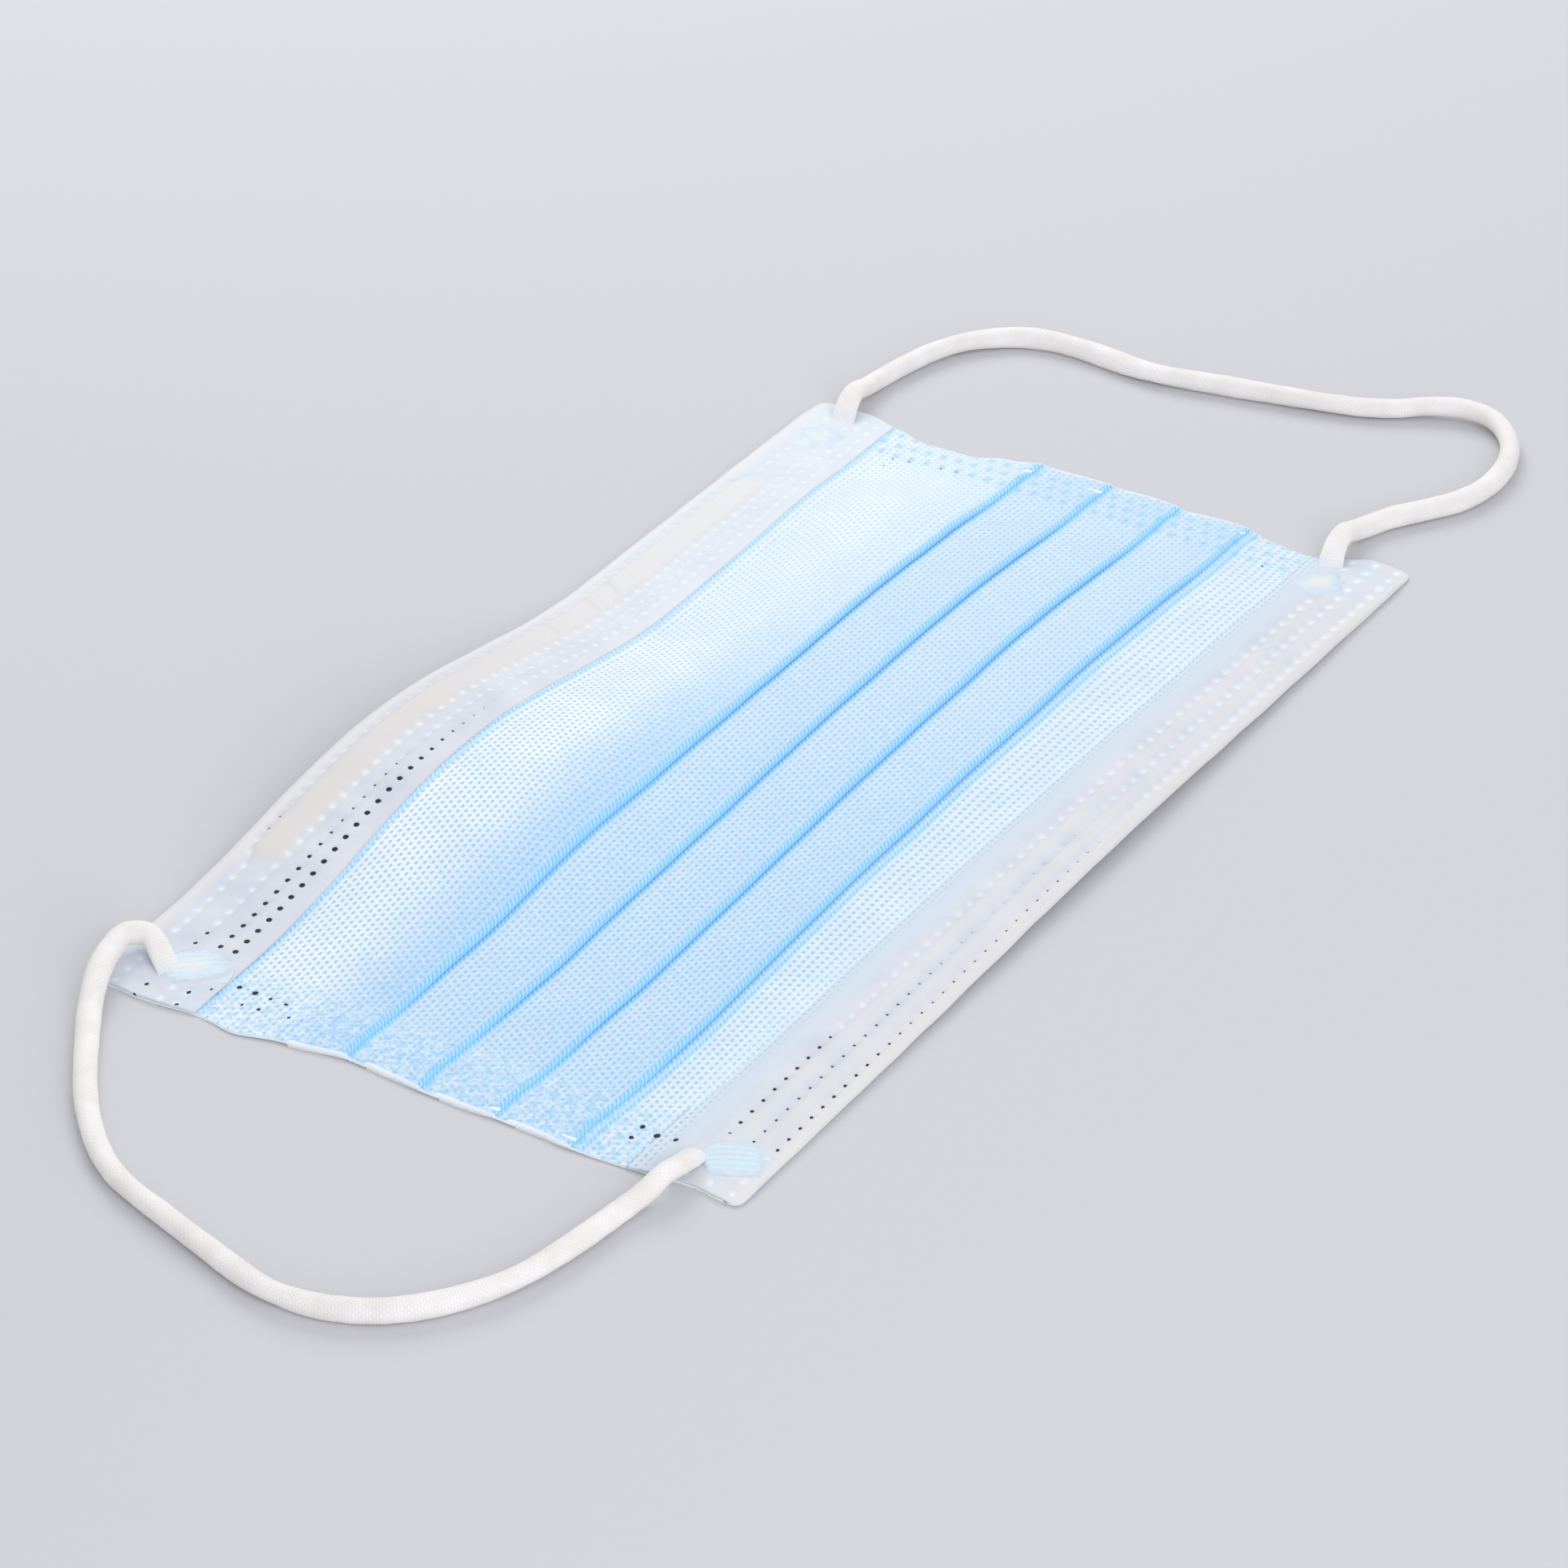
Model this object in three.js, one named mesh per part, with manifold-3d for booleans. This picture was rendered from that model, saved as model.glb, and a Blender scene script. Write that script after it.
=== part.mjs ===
// A pleated three-ply surgical face mask, lying flat with its outer face up.
// Units are millimetres. +Z is up, X runs along the long edges, +Y is the nose edge.
// The origin is on the surface that the mask lies on, under the middle of the mask.

import * as THREE from 'three';
import { mergeVertices } from 'three/addons/utils/BufferGeometryUtils.js';
import Module from 'manifold-3d';

const wasm = await Module();
wasm.setup();

// ---- driving dimensions -------------------------------------------------------------------

const WIDTH = 175;            // along X
const HEIGHT = 95.5;          // along Y, pleats closed
const WALL = 1.0;             // one thickness of the three-ply laminate, and of a hem
const SLIT = 0.3;             // open space between two layers, and between two pieces
const LAYER = WALL + SLIT;    // from one layer of a pleat to the next

// Pleats: each folds back under the panel above it.
const PLEAT_FOLDS = [9.0, -2.3, -13.6, -24.9];   // Y of the four folds that show
const PLEAT_DEPTH = 8.0;      // how far each pleat runs back under the panel above it
const PANEL_TILT = 0.4;       // rise of a panel over its pleat, so that each fold stands proud
const PANEL_RUN = 3.2;        // length over which a panel climbs out of its pleat

// Hems: the white strips turned over the long edges.
const HEM_WIDTH = 15.2;
const RIM = 2.2;              // width of the turned edge, down to the table
const HEM_BEVEL = 0.5;        // bevel along the hem's upper edges

// The flat wire in the nose hem.
const WIRE_LENGTH = 115;
const WIRE_WIDTH = 3.8;
const WIRE_THICKNESS = 0.8;
const WIRE_X = 2;             // the wire sits a little off the middle
const WIRE_Y = 42.2;          // centre line of the wire
const CHANNEL_WALK = 5;       // length over which the hem climbs onto the wire's end
const CHANNEL_SIDE = 0.7;     // width of the slope on each side of the wire

// The short edges, where every layer is pressed and fused.
const SIDE_WELD = 8;          // width of the fused strip
const SIDE_WELD_HEIGHT = 1.2; // its thickness
const SIDE_WELD_ROWS = 15;    // sections along it, so that it follows the wave of the edge
const EDGE_WAVE = 0.6;        // how far the knife cut wanders in and out
const EDGE_WAVE_LENGTH = 41;  // from one crest of that wave to the next
const PRESS_START = 62;       // |X| from which the pleats are pressed together
const PRESS_END = 79;         // |X| from which they are flat
const CORNER_START = 66;      // |X| from which the hems come down to the table
const CORNER_END = 72;        // |X| from which they lie on it
const CORNER_DROP = 1.1;      // how far they come down

// The wire holds the nose edge up in a long low arch over the table.
const ARCH_X = -25;           // X of its highest place
const ARCH_HALF = 50;         // half of its length
const ARCH_RISE = 5.5;        // clear height under the nose edge
const ARCH_SHOULDER = 36;     // Y where the cloth stands highest over the table
const SHOULDER_LIFT = 1.12;   // its height there, as a share of that at the edge

// Ear loops: round elastic, laid on the table, welded to the outer face at the corners.
const CORD_DIAMETER = 2.9;
const CORD_SIDES = 8;
const CORD_STEP = 2.4 * CORD_DIAMETER;
const CORD_LOW = 1.5;         // height of the cord's centre line where it lies on the table
const CORD_HIGH = 2.95;       // the same where it lies on a hem

const STATION = 5;            // distance between the sections of a long piece along X
const SAME = 0.01;            // two places this close are one place

// The melted ends of the ear loops: as tall as the cord at first, then pressed thin and wide.
const WELD_LENGTH = 7.5;
const WELD_HALF = 1.9;        // half of the pressed width
const WELD_NECK = 2.4;        // length of the tall part
const WELD_SHOULDER = 1;      // length over which it widens
const WELD_CORNER = 0.8;      // bevel of its far corners
const WELD_TALL = 1.9;
const WELD_THIN = 0.7;

// Routes from the nose corner's weld to the chin corner's weld: x, y, height of the centre line.
const NEAR_LOOP = [
  [-83.0, 37.4, CORD_HIGH], [-81.2, 40.4, CORD_HIGH], [-79.4, 44.0, 3.2], [-80.8, 46.4, 3.3],
  [-84.4, 46.1, 3.2], [-89.0, 44.6, 2.95], [-94.0, 42.2, 1.8], [-99.3, 38.8, CORD_LOW],
  [-104.5, 35.2, CORD_LOW], [-109.6, 31.4, CORD_LOW], [-114.2, 27.3, CORD_LOW], [-118.3, 22.9, CORD_LOW],
  [-121.5, 18.2, CORD_LOW], [-123.5, 13.5, CORD_LOW], [-125.0, 8.9, CORD_LOW], [-126.5, 4.5, CORD_LOW],
  [-127.9, 0.1, CORD_LOW], [-129.4, -4.4, CORD_LOW], [-130.6, -8.8, CORD_LOW], [-131.0, -12.9, CORD_LOW],
  [-130.6, -17.0, CORD_LOW], [-129.3, -21.0, CORD_LOW], [-127.0, -24.9, CORD_LOW],
  [-123.6, -28.4, CORD_LOW], [-119.2, -31.5, CORD_LOW], [-114.0, -33.9, CORD_LOW],
  [-107.8, -35.4, CORD_LOW], [-101.2, -36.4, CORD_LOW], [-95.4, -37.1, CORD_LOW], [-92.2, -37.8, 2.0],
  [-89.0, -38.4, 2.95], [-85.4, -38.6, CORD_HIGH], [-82.0, -38.4, CORD_HIGH],
];
const FAR_LOOP = [
  [82.6, 40.9, CORD_HIGH], [85.6, 41.9, CORD_HIGH], [89.0, 42.6, 2.95], [92.8, 42.9, 1.9],
  [97.2, 42.7, CORD_LOW],
  [102.4, 41.8, CORD_LOW], [107.9, 40.4, CORD_LOW], [112.6, 38.2, CORD_LOW], [116.2, 35.0, CORD_LOW],
  [118.6, 31.4, CORD_LOW], [119.8, 27.2, CORD_LOW], [120.0, 22.8, CORD_LOW], [119.6, 18.2, CORD_LOW],
  [119.1, 13.6, CORD_LOW], [119.2, 9.0, CORD_LOW], [119.9, 4.6, CORD_LOW], [120.8, 0.3, CORD_LOW],
  [121.6, -4.0, CORD_LOW], [122.5, -8.2, CORD_LOW], [123.4, -12.4, CORD_LOW], [124.4, -16.6, CORD_LOW],
  [125.7, -20.8, CORD_LOW], [127.8, -24.9, CORD_LOW], [130.4, -29.0, 1.8], [132.0, -33.6, 2.0],
  [131.4, -38.6, 1.8], [127.6, -42.8, CORD_LOW], [121.6, -45.5, CORD_LOW], [114.4, -46.2, CORD_LOW],
  [108.4, -44.8, CORD_LOW], [103.6, -41.9, CORD_LOW], [98.9, -38.7, CORD_LOW], [94.8, -36.9, CORD_LOW],
  [91.8, -36.3, 2.1], [88.8, -36.2, 2.95], [85.4, -36.7, CORD_HIGH], [82.0, -37.9, CORD_HIGH],
];

// Where each melted end meets its cord, [x, y], and the heading in degrees of its pressed strip.
const LOOP_WELDS = {
  near_nose: { place: [-83.5, 35.7], heading: -20 },
  near_chin: { place: [-80.2, -38.3], heading: -86 },
  far_nose: { place: [80.9, 40.3], heading: 172 },
  far_chin: { place: [80.4, -38.6], heading: 202 },
};

// ---- small helpers ------------------------------------------------------------------------

const clamp01 = (t) => Math.min(1, Math.max(0, t));
const smooth = (low, high, value) => {
  const t = clamp01((value - low) / (high - low));
  return t * t * (3 - 2 * t);
};

// Height of the cloth's underside over the table.
function archHeight(x, y) {
  const along = Math.abs(x - ARCH_X) < ARCH_HALF
    ? Math.cos((Math.PI / 2) * (x - ARCH_X) / ARCH_HALF) ** 2
    : 0;
  const up = SHOULDER_LIFT * smooth(0, ARCH_SHOULDER, y);
  const down = (SHOULDER_LIFT - 1) * smooth(ARCH_SHOULDER, HEIGHT / 2, y);
  return ARCH_RISE * along * (up - down);
}

// 1 where the pleats are open, down to the fused strip's share at the short edges.
function pressShare(x) {
  const openHeight = 3 * WALL + 2 * SLIT + PANEL_TILT;
  const pressed = (SIDE_WELD_HEIGHT - SLIT) / openHeight;
  return 1 - (1 - pressed) * smooth(PRESS_START, PRESS_END, Math.abs(x));
}

// A section in the Y-Z plane, swept along X from `from` to `to`; `bend` then moves each vertex.
function sweptPiece(points, from, to, bend) {
  const shape = new THREE.Shape(points.map(([y, z]) => new THREE.Vector2(y, z)));
  const steps = Math.max(1, Math.round((to - from) / STATION));
  const geometry = new THREE.ExtrudeGeometry(shape, { depth: to - from, steps, bevelEnabled: false });
  const position = geometry.attributes.position;
  for (let i = 0; i < position.count; i += 1) {
    const x = from + position.getZ(i);
    const y = position.getX(i);
    const z = position.getY(i);
    const moved = bend(x, y, z);
    position.setXYZ(i, moved[0], moved[1], moved[2]);
  }
  return closed(geometry);
}

// Only positions, with the shared vertices merged.
function closed(geometry) {
  geometry.deleteAttribute('normal');
  geometry.deleteAttribute('uv');
  return mergeVertices(geometry, 1e-4);
}

function toSolid(geometry) {
  return new wasm.Manifold(new wasm.Mesh({
    numProp: 3,
    vertProperties: new Float32Array(geometry.attributes.position.array),
    triVerts: new Uint32Array(geometry.index.array),
  }));
}

function toGeometry(solid) {
  const mesh = solid.getMesh();
  const geometry = new THREE.BufferGeometry();
  geometry.setAttribute('position', new THREE.BufferAttribute(new Float32Array(mesh.vertProperties), 3));
  geometry.setIndex(new THREE.BufferAttribute(new Uint32Array(mesh.triVerts), 1));
  return geometry;
}

// The outline of a wall of even thickness along a centre line, with mitred corners.
function wallOutline(centre, thickness) {
  const left = [];
  const right = [];
  centre.forEach(([y, z], i) => {
    const before = centre[Math.max(0, i - 1)];
    const after = centre[Math.min(centre.length - 1, i + 1)];
    const inLength = Math.hypot(y - before[0], z - before[1]) || 1;
    const outLength = Math.hypot(after[0] - y, after[1] - z) || 1;
    let inward = [(y - before[0]) / inLength, (z - before[1]) / inLength];
    let outward = [(after[0] - y) / outLength, (after[1] - z) / outLength];
    if (i === 0) inward = outward;
    if (i === centre.length - 1) outward = inward;
    const normal = [-(inward[1] + outward[1]), inward[0] + outward[0]];
    const share = thickness / 2 / (normal[0] * -inward[1] + normal[1] * inward[0]);
    left.push([y + normal[0] * share, z + normal[1] * share]);
    right.push([y - normal[0] * share, z - normal[1] * share]);
  });
  return [...left, ...right.reverse()];
}

// ---- pleated body -------------------------------------------------------------------------

// Centre line of the laminate from the nose margin to the chin margin, through four Z-pleats.
function pleatLine() {
  const low = WALL / 2;
  const middle = low + LAYER;
  const high = low + 2 * LAYER;
  const noseMargin = HEIGHT / 2 - RIM - SLIT;
  const line = [
    [noseMargin, low],
    [HEIGHT / 2 - HEM_WIDTH - 2, low],
  ];
  PLEAT_FOLDS.forEach((fold) => {
    const back = fold + PLEAT_DEPTH;
    line.push([back, high], [fold, high + PANEL_TILT]);
    line.push([fold, middle + PANEL_TILT], [back, middle]);
    line.push([back, low], [fold, low + PANEL_TILT]);
  });
  const lastFold = PLEAT_FOLDS[PLEAT_FOLDS.length - 1];
  line.push([lastFold - PANEL_RUN, low], [-noseMargin, low]);
  return line;
}

// Both short edges wave a little where the knife cut the fused strip.
function edgeWave(x, y) {
  const side = Math.sign(x);
  const wave = EDGE_WAVE * Math.cos(2 * Math.PI * y / EDGE_WAVE_LENGTH);
  return x + side * wave * smooth(PRESS_END, WIDTH / 2, Math.abs(x));
}

function pleatedBody() {
  const end = WIDTH / 2;
  const bend = (x, y, z) => [edgeWave(x, y), y, z * pressShare(x) + archHeight(x, y)];
  let body = toSolid(sweptPiece(wallOutline(pleatLine(), WALL), -end, end, bend));

  // The fused strips along the short edges.
  const lapStart = HEIGHT / 2 - HEM_WIDTH - SLIT;
  const high = SIDE_WELD_HEIGHT;
  const strip = [[-lapStart, 0], [lapStart, 0], [lapStart, high], [-lapStart, high]];
  const finer = strip.flatMap(([y, z], i) => {
    const next = strip[(i + 1) % strip.length];
    const count = next[0] === y ? 1 : SIDE_WELD_ROWS;
    const at = (k) => [y + (next[0] - y) * k / count, z + (next[1] - z) * k / count];
    return Array.from({ length: count }, (_, k) => at(k));
  });
  const flat = (x, y, z) => [edgeWave(x, y), y, z];
  for (const [from, to] of [[-end, -end + SIDE_WELD], [end - SIDE_WELD, end]]) {
    body = body.add(toSolid(sweptPiece(finer, from, to, flat)));
  }

  // The corners are taken by the ends of the hems.
  for (const side of [-1, 1]) {
    for (const edge of [-1, 1]) {
      const cut = new THREE.BoxGeometry(2 * (end - CORNER_START), HEIGHT, HEIGHT);
      cut.translate(side * end, edge * (lapStart + HEIGHT / 2), 0);
      body = body.subtract(toSolid(closed(cut)));
    }
  }
  return toGeometry(body);
}

// ---- hems ---------------------------------------------------------------------------------

// An L-shaped strip: a flap over the body's margin and a rim down to the table. `edge` is +1 at
// the nose and -1 at the chin; the channel stations are Y distances from the middle.
function hem(edge, channel) {
  const outer = HEIGHT / 2;
  const inner = outer - HEM_WIDTH;
  const under = LAYER;
  const top = under + WALL;
  const topLine = [outer - HEM_BEVEL, ...channel, inner + HEM_BEVEL];
  const underLine = [inner, ...[...channel].reverse(), outer - RIM];
  const section = [
    [outer, 0],
    [outer, top - HEM_BEVEL],
    ...topLine.map((y) => [y, top]),
    [inner, top - HEM_BEVEL],
    ...underLine.map((y) => [y, under]),
    [outer - RIM, 0],
  ].map(([y, z]) => [edge * y, z]);
  const raised = channel.length ? channel.slice(1, -1) : [];
  const reach = WIRE_LENGTH / 2 + 1;
  const bend = (x, y, z) => {
    const corner = smooth(CORNER_START, CORNER_END, Math.abs(x));
    const overWire = 1 - smooth(reach, reach + CHANNEL_WALK, Math.abs(x - WIRE_X));
    const isFlap = z > under - SAME;
    const isRaised = isFlap && raised.some((station) => Math.abs(y - station) < SAME);
    const lift = isRaised ? (WIRE_THICKNESS + SLIT) * overWire : 0;
    const drop = isFlap ? CORNER_DROP * corner : 0;
    return [edgeWave(x, y), y, z - drop + lift + archHeight(x, y)];
  };
  return sweptPiece(section, -WIDTH / 2, WIDTH / 2, bend);
}

function noseHem() {
  const half = WIRE_WIDTH / 2 + SLIT;
  const foot = half + CHANNEL_SIDE;
  return hem(1, [WIRE_Y + foot, WIRE_Y + half, WIRE_Y - half, WIRE_Y - foot]);
}

function chinHem() {
  return hem(-1, []);
}

function noseWire() {
  const half = WIRE_WIDTH / 2;
  const low = LAYER;
  const section = [
    [WIRE_Y - half, low],
    [WIRE_Y + half, low],
    [WIRE_Y + half, low + WIRE_THICKNESS],
    [WIRE_Y - half, low + WIRE_THICKNESS],
  ];
  const bend = (x, y, z) => [x, y, z + archHeight(x, y)];
  return sweptPiece(section, WIRE_X - WIRE_LENGTH / 2, WIRE_X + WIRE_LENGTH / 2, bend);
}

// ---- ear loops ----------------------------------------------------------------------------

function cordTube(route) {
  const curve = new THREE.CatmullRomCurve3(route.map((p) => new THREE.Vector3(...p)), false, 'centripetal');
  const steps = Math.round(curve.getLength() / CORD_STEP);
  const radius = CORD_DIAMETER / 2;
  const section = new THREE.Shape(Array.from({ length: CORD_SIDES }, (_, k) => {
    const turn = 2 * Math.PI * (k + 0.5) / CORD_SIDES;
    return new THREE.Vector2(radius * Math.cos(turn), radius * Math.sin(turn));
  }));
  return closed(new THREE.ExtrudeGeometry(section, { steps, extrudePath: curve, bevelEnabled: false }));
}

function loopWeld({ place, heading }) {
  const neck = CORD_DIAMETER / 2;
  const half = [
    [0, neck], [WELD_NECK, neck], [WELD_NECK + WELD_SHOULDER, WELD_HALF],
    [WELD_LENGTH - WELD_CORNER, WELD_HALF], [WELD_LENGTH, WELD_HALF - WELD_CORNER],
  ];
  const outline = [...half.map(([along, across]) => [along, -across]), ...half.reverse()];
  const shape = new THREE.Shape(outline.map((p) => new THREE.Vector2(...p)));
  const geometry = new THREE.ExtrudeGeometry(shape, { depth: 1, bevelEnabled: false });
  const position = geometry.attributes.position;
  for (let i = 0; i < position.count; i += 1) {
    const thickness = position.getX(i) > WELD_NECK + WELD_SHOULDER / 2 ? WELD_THIN : WELD_TALL;
    position.setZ(i, position.getZ(i) * thickness);
  }
  geometry.rotateZ(THREE.MathUtils.degToRad(heading));
  geometry.translate(place[0], place[1], SIDE_WELD_HEIGHT + SLIT);
  return closed(geometry);
}

// ---- assembly -----------------------------------------------------------------------------

const blueNonwoven = new THREE.MeshStandardMaterial({ color: 0xc3e0f6, roughness: 0.85, metalness: 0 });
const whiteNonwoven = new THREE.MeshStandardMaterial({ color: 0xe6e9f1, roughness: 0.8, metalness: 0 });
const coatedWire = new THREE.MeshStandardMaterial({ color: 0xdedad6, roughness: 0.5, metalness: 0 });
const elastic = new THREE.MeshStandardMaterial({ color: 0xe9e4e0, roughness: 0.9, metalness: 0 });
const meltedElastic = new THREE.MeshStandardMaterial({ color: 0xe6efe9, roughness: 0.35, metalness: 0 });

const mask = new THREE.Group();

function addPiece(name, geometry, material) {
  const mesh = new THREE.Mesh(geometry, material);
  mesh.name = name;
  mask.add(mesh);
}

addPiece('pleated_body', pleatedBody(), blueNonwoven);
addPiece('nose_hem', noseHem(), whiteNonwoven);
addPiece('chin_hem', chinHem(), whiteNonwoven);
addPiece('nose_wire', noseWire(), coatedWire);
for (const [side, route] of [['near', NEAR_LOOP], ['far', FAR_LOOP]]) {
  addPiece(`ear_loop_${side}`, cordTube(route), elastic);
}
for (const [corner, weld] of Object.entries(LOOP_WELDS)) {
  addPiece(`loop_weld_${corner}`, loopWeld(weld), meltedElastic);
}

export default mask;
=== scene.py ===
# A pleated three-ply surgical face mask, lying flat with its outer face up, built around its
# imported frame. Units are metres. +Z is up, X runs along the long edges, +Y is the nose edge,
# and the origin is on the floor under the middle of the mask.

import math

import bmesh
import bpy
from bpy.props import FloatProperty, FloatVectorProperty, PointerProperty
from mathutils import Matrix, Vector, noise


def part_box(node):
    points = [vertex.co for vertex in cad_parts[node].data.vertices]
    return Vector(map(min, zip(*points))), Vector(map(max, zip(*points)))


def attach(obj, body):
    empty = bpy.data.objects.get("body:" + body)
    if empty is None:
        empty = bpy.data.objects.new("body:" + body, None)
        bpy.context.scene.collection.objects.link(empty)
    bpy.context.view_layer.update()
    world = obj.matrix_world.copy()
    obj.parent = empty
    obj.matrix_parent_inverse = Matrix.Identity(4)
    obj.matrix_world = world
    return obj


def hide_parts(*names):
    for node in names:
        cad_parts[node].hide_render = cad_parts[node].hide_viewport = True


bl_info = {
    "name": "Surgical Face Mask",
    "version": (1, 0, 0),
    "blender": (4, 5, 0),
    "location": "3D View > Sidebar > Mask",
    "description": "Builds a pleated ear-loop face mask around its packed frame",
    "category": "Add Mesh",
}

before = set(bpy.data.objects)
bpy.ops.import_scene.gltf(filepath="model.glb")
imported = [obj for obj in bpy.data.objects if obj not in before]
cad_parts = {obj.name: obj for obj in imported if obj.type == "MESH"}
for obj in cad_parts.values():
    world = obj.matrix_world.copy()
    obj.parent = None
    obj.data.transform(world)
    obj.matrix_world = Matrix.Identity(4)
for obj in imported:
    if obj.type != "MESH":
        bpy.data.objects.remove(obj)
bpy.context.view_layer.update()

# ---- sizes ---------------------------------------------------------------------------------

HEM_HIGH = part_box("nose_hem")[1]
WIRE_LOW, WIRE_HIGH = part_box("nose_wire")

MM = 0.001
WIDTH = 0.175
HEIGHT = 2 * HEM_HIGH.y

# Pleats
PITCH = 0.0113                # from one fold to the next
FOLDS = [0.0090 - k * PITCH for k in range(4)]
DEPTH = 0.0080                # how far each pleat runs back under the panel above it
LAYER = 0.00036               # from one layer of cloth to the next
CLOTH_BASE = 0.00030          # middle of the lowest layer over whatever it lies on
CLOTH_MARGIN = 0.0452         # Y of the plies' own edges, inside the hems
TOP_PANEL = 0.0310            # Y from which the top panel climbs towards its fold
LAST_PANEL = -0.0340          # Y at which the last panel has come down to the chin margin
PANEL_PUFF = 0.00020          # how far a panel bellies out between two folds
TOP_PUFF = 0.00075            # the same for the top panel
FLAT_PUFF = 0.15              # share of that where the short edges are fused
DRAPE = 0.00007               # small unevenness of a panel
MARGIN_LIFT = 0.00020         # rise of the margins over the layers that lie under them
FOLD_LIFT = 0.00010           # rise of a layer where the fold above holds it

# Plies; the dimples are pressed in a lattice, one row shifted by half a step from the next
OUTER_OFFSET = 0.00012        # the blue ply's distance from the middle of the laminate
INNER_OFFSET = -0.00014
INNER_THICKNESS = 0.00016
DIMPLE_X = 0.00115            # from one dimple to the next in a row
DIMPLE_Y = 0.00095            # from one row to the next
DIMPLE_DEPTH = 0.00006

# Fused and cut short edges
PRESS_START = 0.062
PRESS_END = 0.079
PRESSED = 0.50                # what is left of the height there
EVEN_END = 0.0740             # X past which the cloth is stretched to its cut edge
PINCH = 0.45                  # share of the height that the knife has taken at the cut
PINCH_START = 0.0825
PINCH_END = 0.0860
FRAY = 0.00018                # unevenness of the cut

# The cut of the two short edges: Y, and how far out the cut is there
NEAR_EDGE = [
    (-0.0480, 0.0873), (-0.0400, 0.0864), (-0.0340, 0.0870), (-0.0260, 0.0875), (-0.0140, 0.0870),
    (-0.0040, 0.0870), (0.0020, 0.0864), (0.0100, 0.0859), (0.0180, 0.0870), (0.0250, 0.0883),
    (0.0310, 0.0874), (0.0380, 0.0880), (0.0480, 0.0876),
]
FAR_EDGE = [
    (-0.0480, 0.0881), (-0.0420, 0.0885), (-0.0340, 0.0853), (-0.0280, 0.0860), (-0.0200, 0.0880),
    (-0.0130, 0.0876), (-0.0080, 0.0884), (0.0000, 0.0885), (0.0100, 0.0886), (0.0160, 0.0872),
    (0.0210, 0.0854), (0.0280, 0.0855), (0.0340, 0.0870), (0.0400, 0.0884), (0.0480, 0.0881),
]
SLIVER_START = 0.0177         # Y of the first place where the under plies show past the blue
SLIVER_PITCH = 0.0109         # from one such place to the next, about a pleat
SLIVER_COUNT = 4
SLIVER = 0.0009               # how much of them shows there at most, at the near end
THIN_SLIVER = 0.00022         # and everywhere else
CORNER_RADIUS = 0.0016        # rounding of the hems' corners

# Arch of the bent wire
ARCH_X = -0.025               # X of its highest place
ARCH_HALF = 0.050             # half of its length
ARCH_RISE = 0.0055            # clear height under the nose edge
ARCH_SHOULDER = 0.036         # Y where the cloth stands highest
SHOULDER_LIFT = 1.12          # height there against the height at the nose edge

# Soft swellings of the cloth: middle, half size, rise
PUFFS = [
    {"x": 0.028, "y": 0.001, "wide": 0.033, "deep": 0.024, "rise": 0.0013},
    {"x": -0.038, "y": 0.010, "wide": 0.020, "deep": 0.013, "rise": 0.0008},
    {"x": 0.062, "y": 0.024, "wide": 0.013, "deep": 0.011, "rise": 0.0011},
    {"x": 0.005, "y": -0.046, "wide": 0.042, "deep": 0.013, "rise": 0.0012},
    {"x": -0.028, "y": -0.026, "wide": 0.024, "deep": 0.010, "rise": 0.0004},
]
LOFT = 0.00018                # loose lie of the cloth between the puffs

# Hems
HEM_THICKNESS = 0.00016
HEM_TOP = 0.00112             # upper face of a hem over whatever the mask lies on
HEM_ENDS = 0.00092            # the same at the fused ends
HEM_LIP = 0.00066             # the same along the inner edge, where it lies on the blue ply
HEM_CLIMB = 0.0032            # how far from that edge it has reached its full height
HEM_TURN = 0.00050            # radius of the turned edge
HEM_UNDER = 0.0095            # how far the hem runs back on the underside
NOSE_BORDER = (0.0314, 0.0346)     # Y of the nose hem's inner edge, near and far end
CHIN_BORDER = (-0.0318, -0.0330)
NOSE_PITCH = 0.00249          # from one weld dot to the next in a row
CHIN_PITCH = 0.00261
NOSE_PHASE = -0.0742          # X of one dot of the innermost row
CHIN_PHASE = -0.0755
NOSE_SHIFTS = (0.0, 0.0, -0.0009, 0.0002)   # how far each row is shifted along X
CHIN_SHIFTS = (0.0, 0.0, 0.0)
DOT_DENT = 0.00026            # depth of a dot
DOT_SIZE = 0.00055            # reach of its dent
SEAM_WIDTH = 0.0007           # half width of the flat lane that a row of dots lies in
NOSE_SWELL = 0.00024          # rise of the cloth between two lanes
CHIN_SWELL = 0.00036
HEM_DRAPE = 0.00010
HEM_WRINKLE = 0.00022         # glassy wrinkles of the fused ends

# Welds and pinholes of the short edges
SIDE_COLUMNS = (0.0799, 0.0826, 0.0855)     # distance of each column from the middle
SIDE_PITCH = 0.00247
SIDE_PHASE = 0.0324
DASH_DENT = 0.00005
HOLE_DENT = 0.00007           # of the cloth round a pinhole
HEM_HOLE_DENT = 0.00020

# The flat wire in its channel
WIRE_MIDDLE_X = (WIRE_LOW.x + WIRE_HIGH.x) / 2
WIRE_HALF_LENGTH = (WIRE_HIGH.x - WIRE_LOW.x) / 2
WIRE_Y = 0.0422
WIRE_HALF_WIDTH = 0.0019
WIRE_THICKNESS = 0.0006
WIRE_BED = HEM_TOP - 0.0001   # height of the wire's underside over the ground
CHANNEL_HALF = 0.0035         # half width of the raised channel, with its slopes
CREASES = (0.0098, 0.0195, 0.0250)   # X of the channel's cross creases
CREASE_DEPTH = 0.00034

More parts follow.
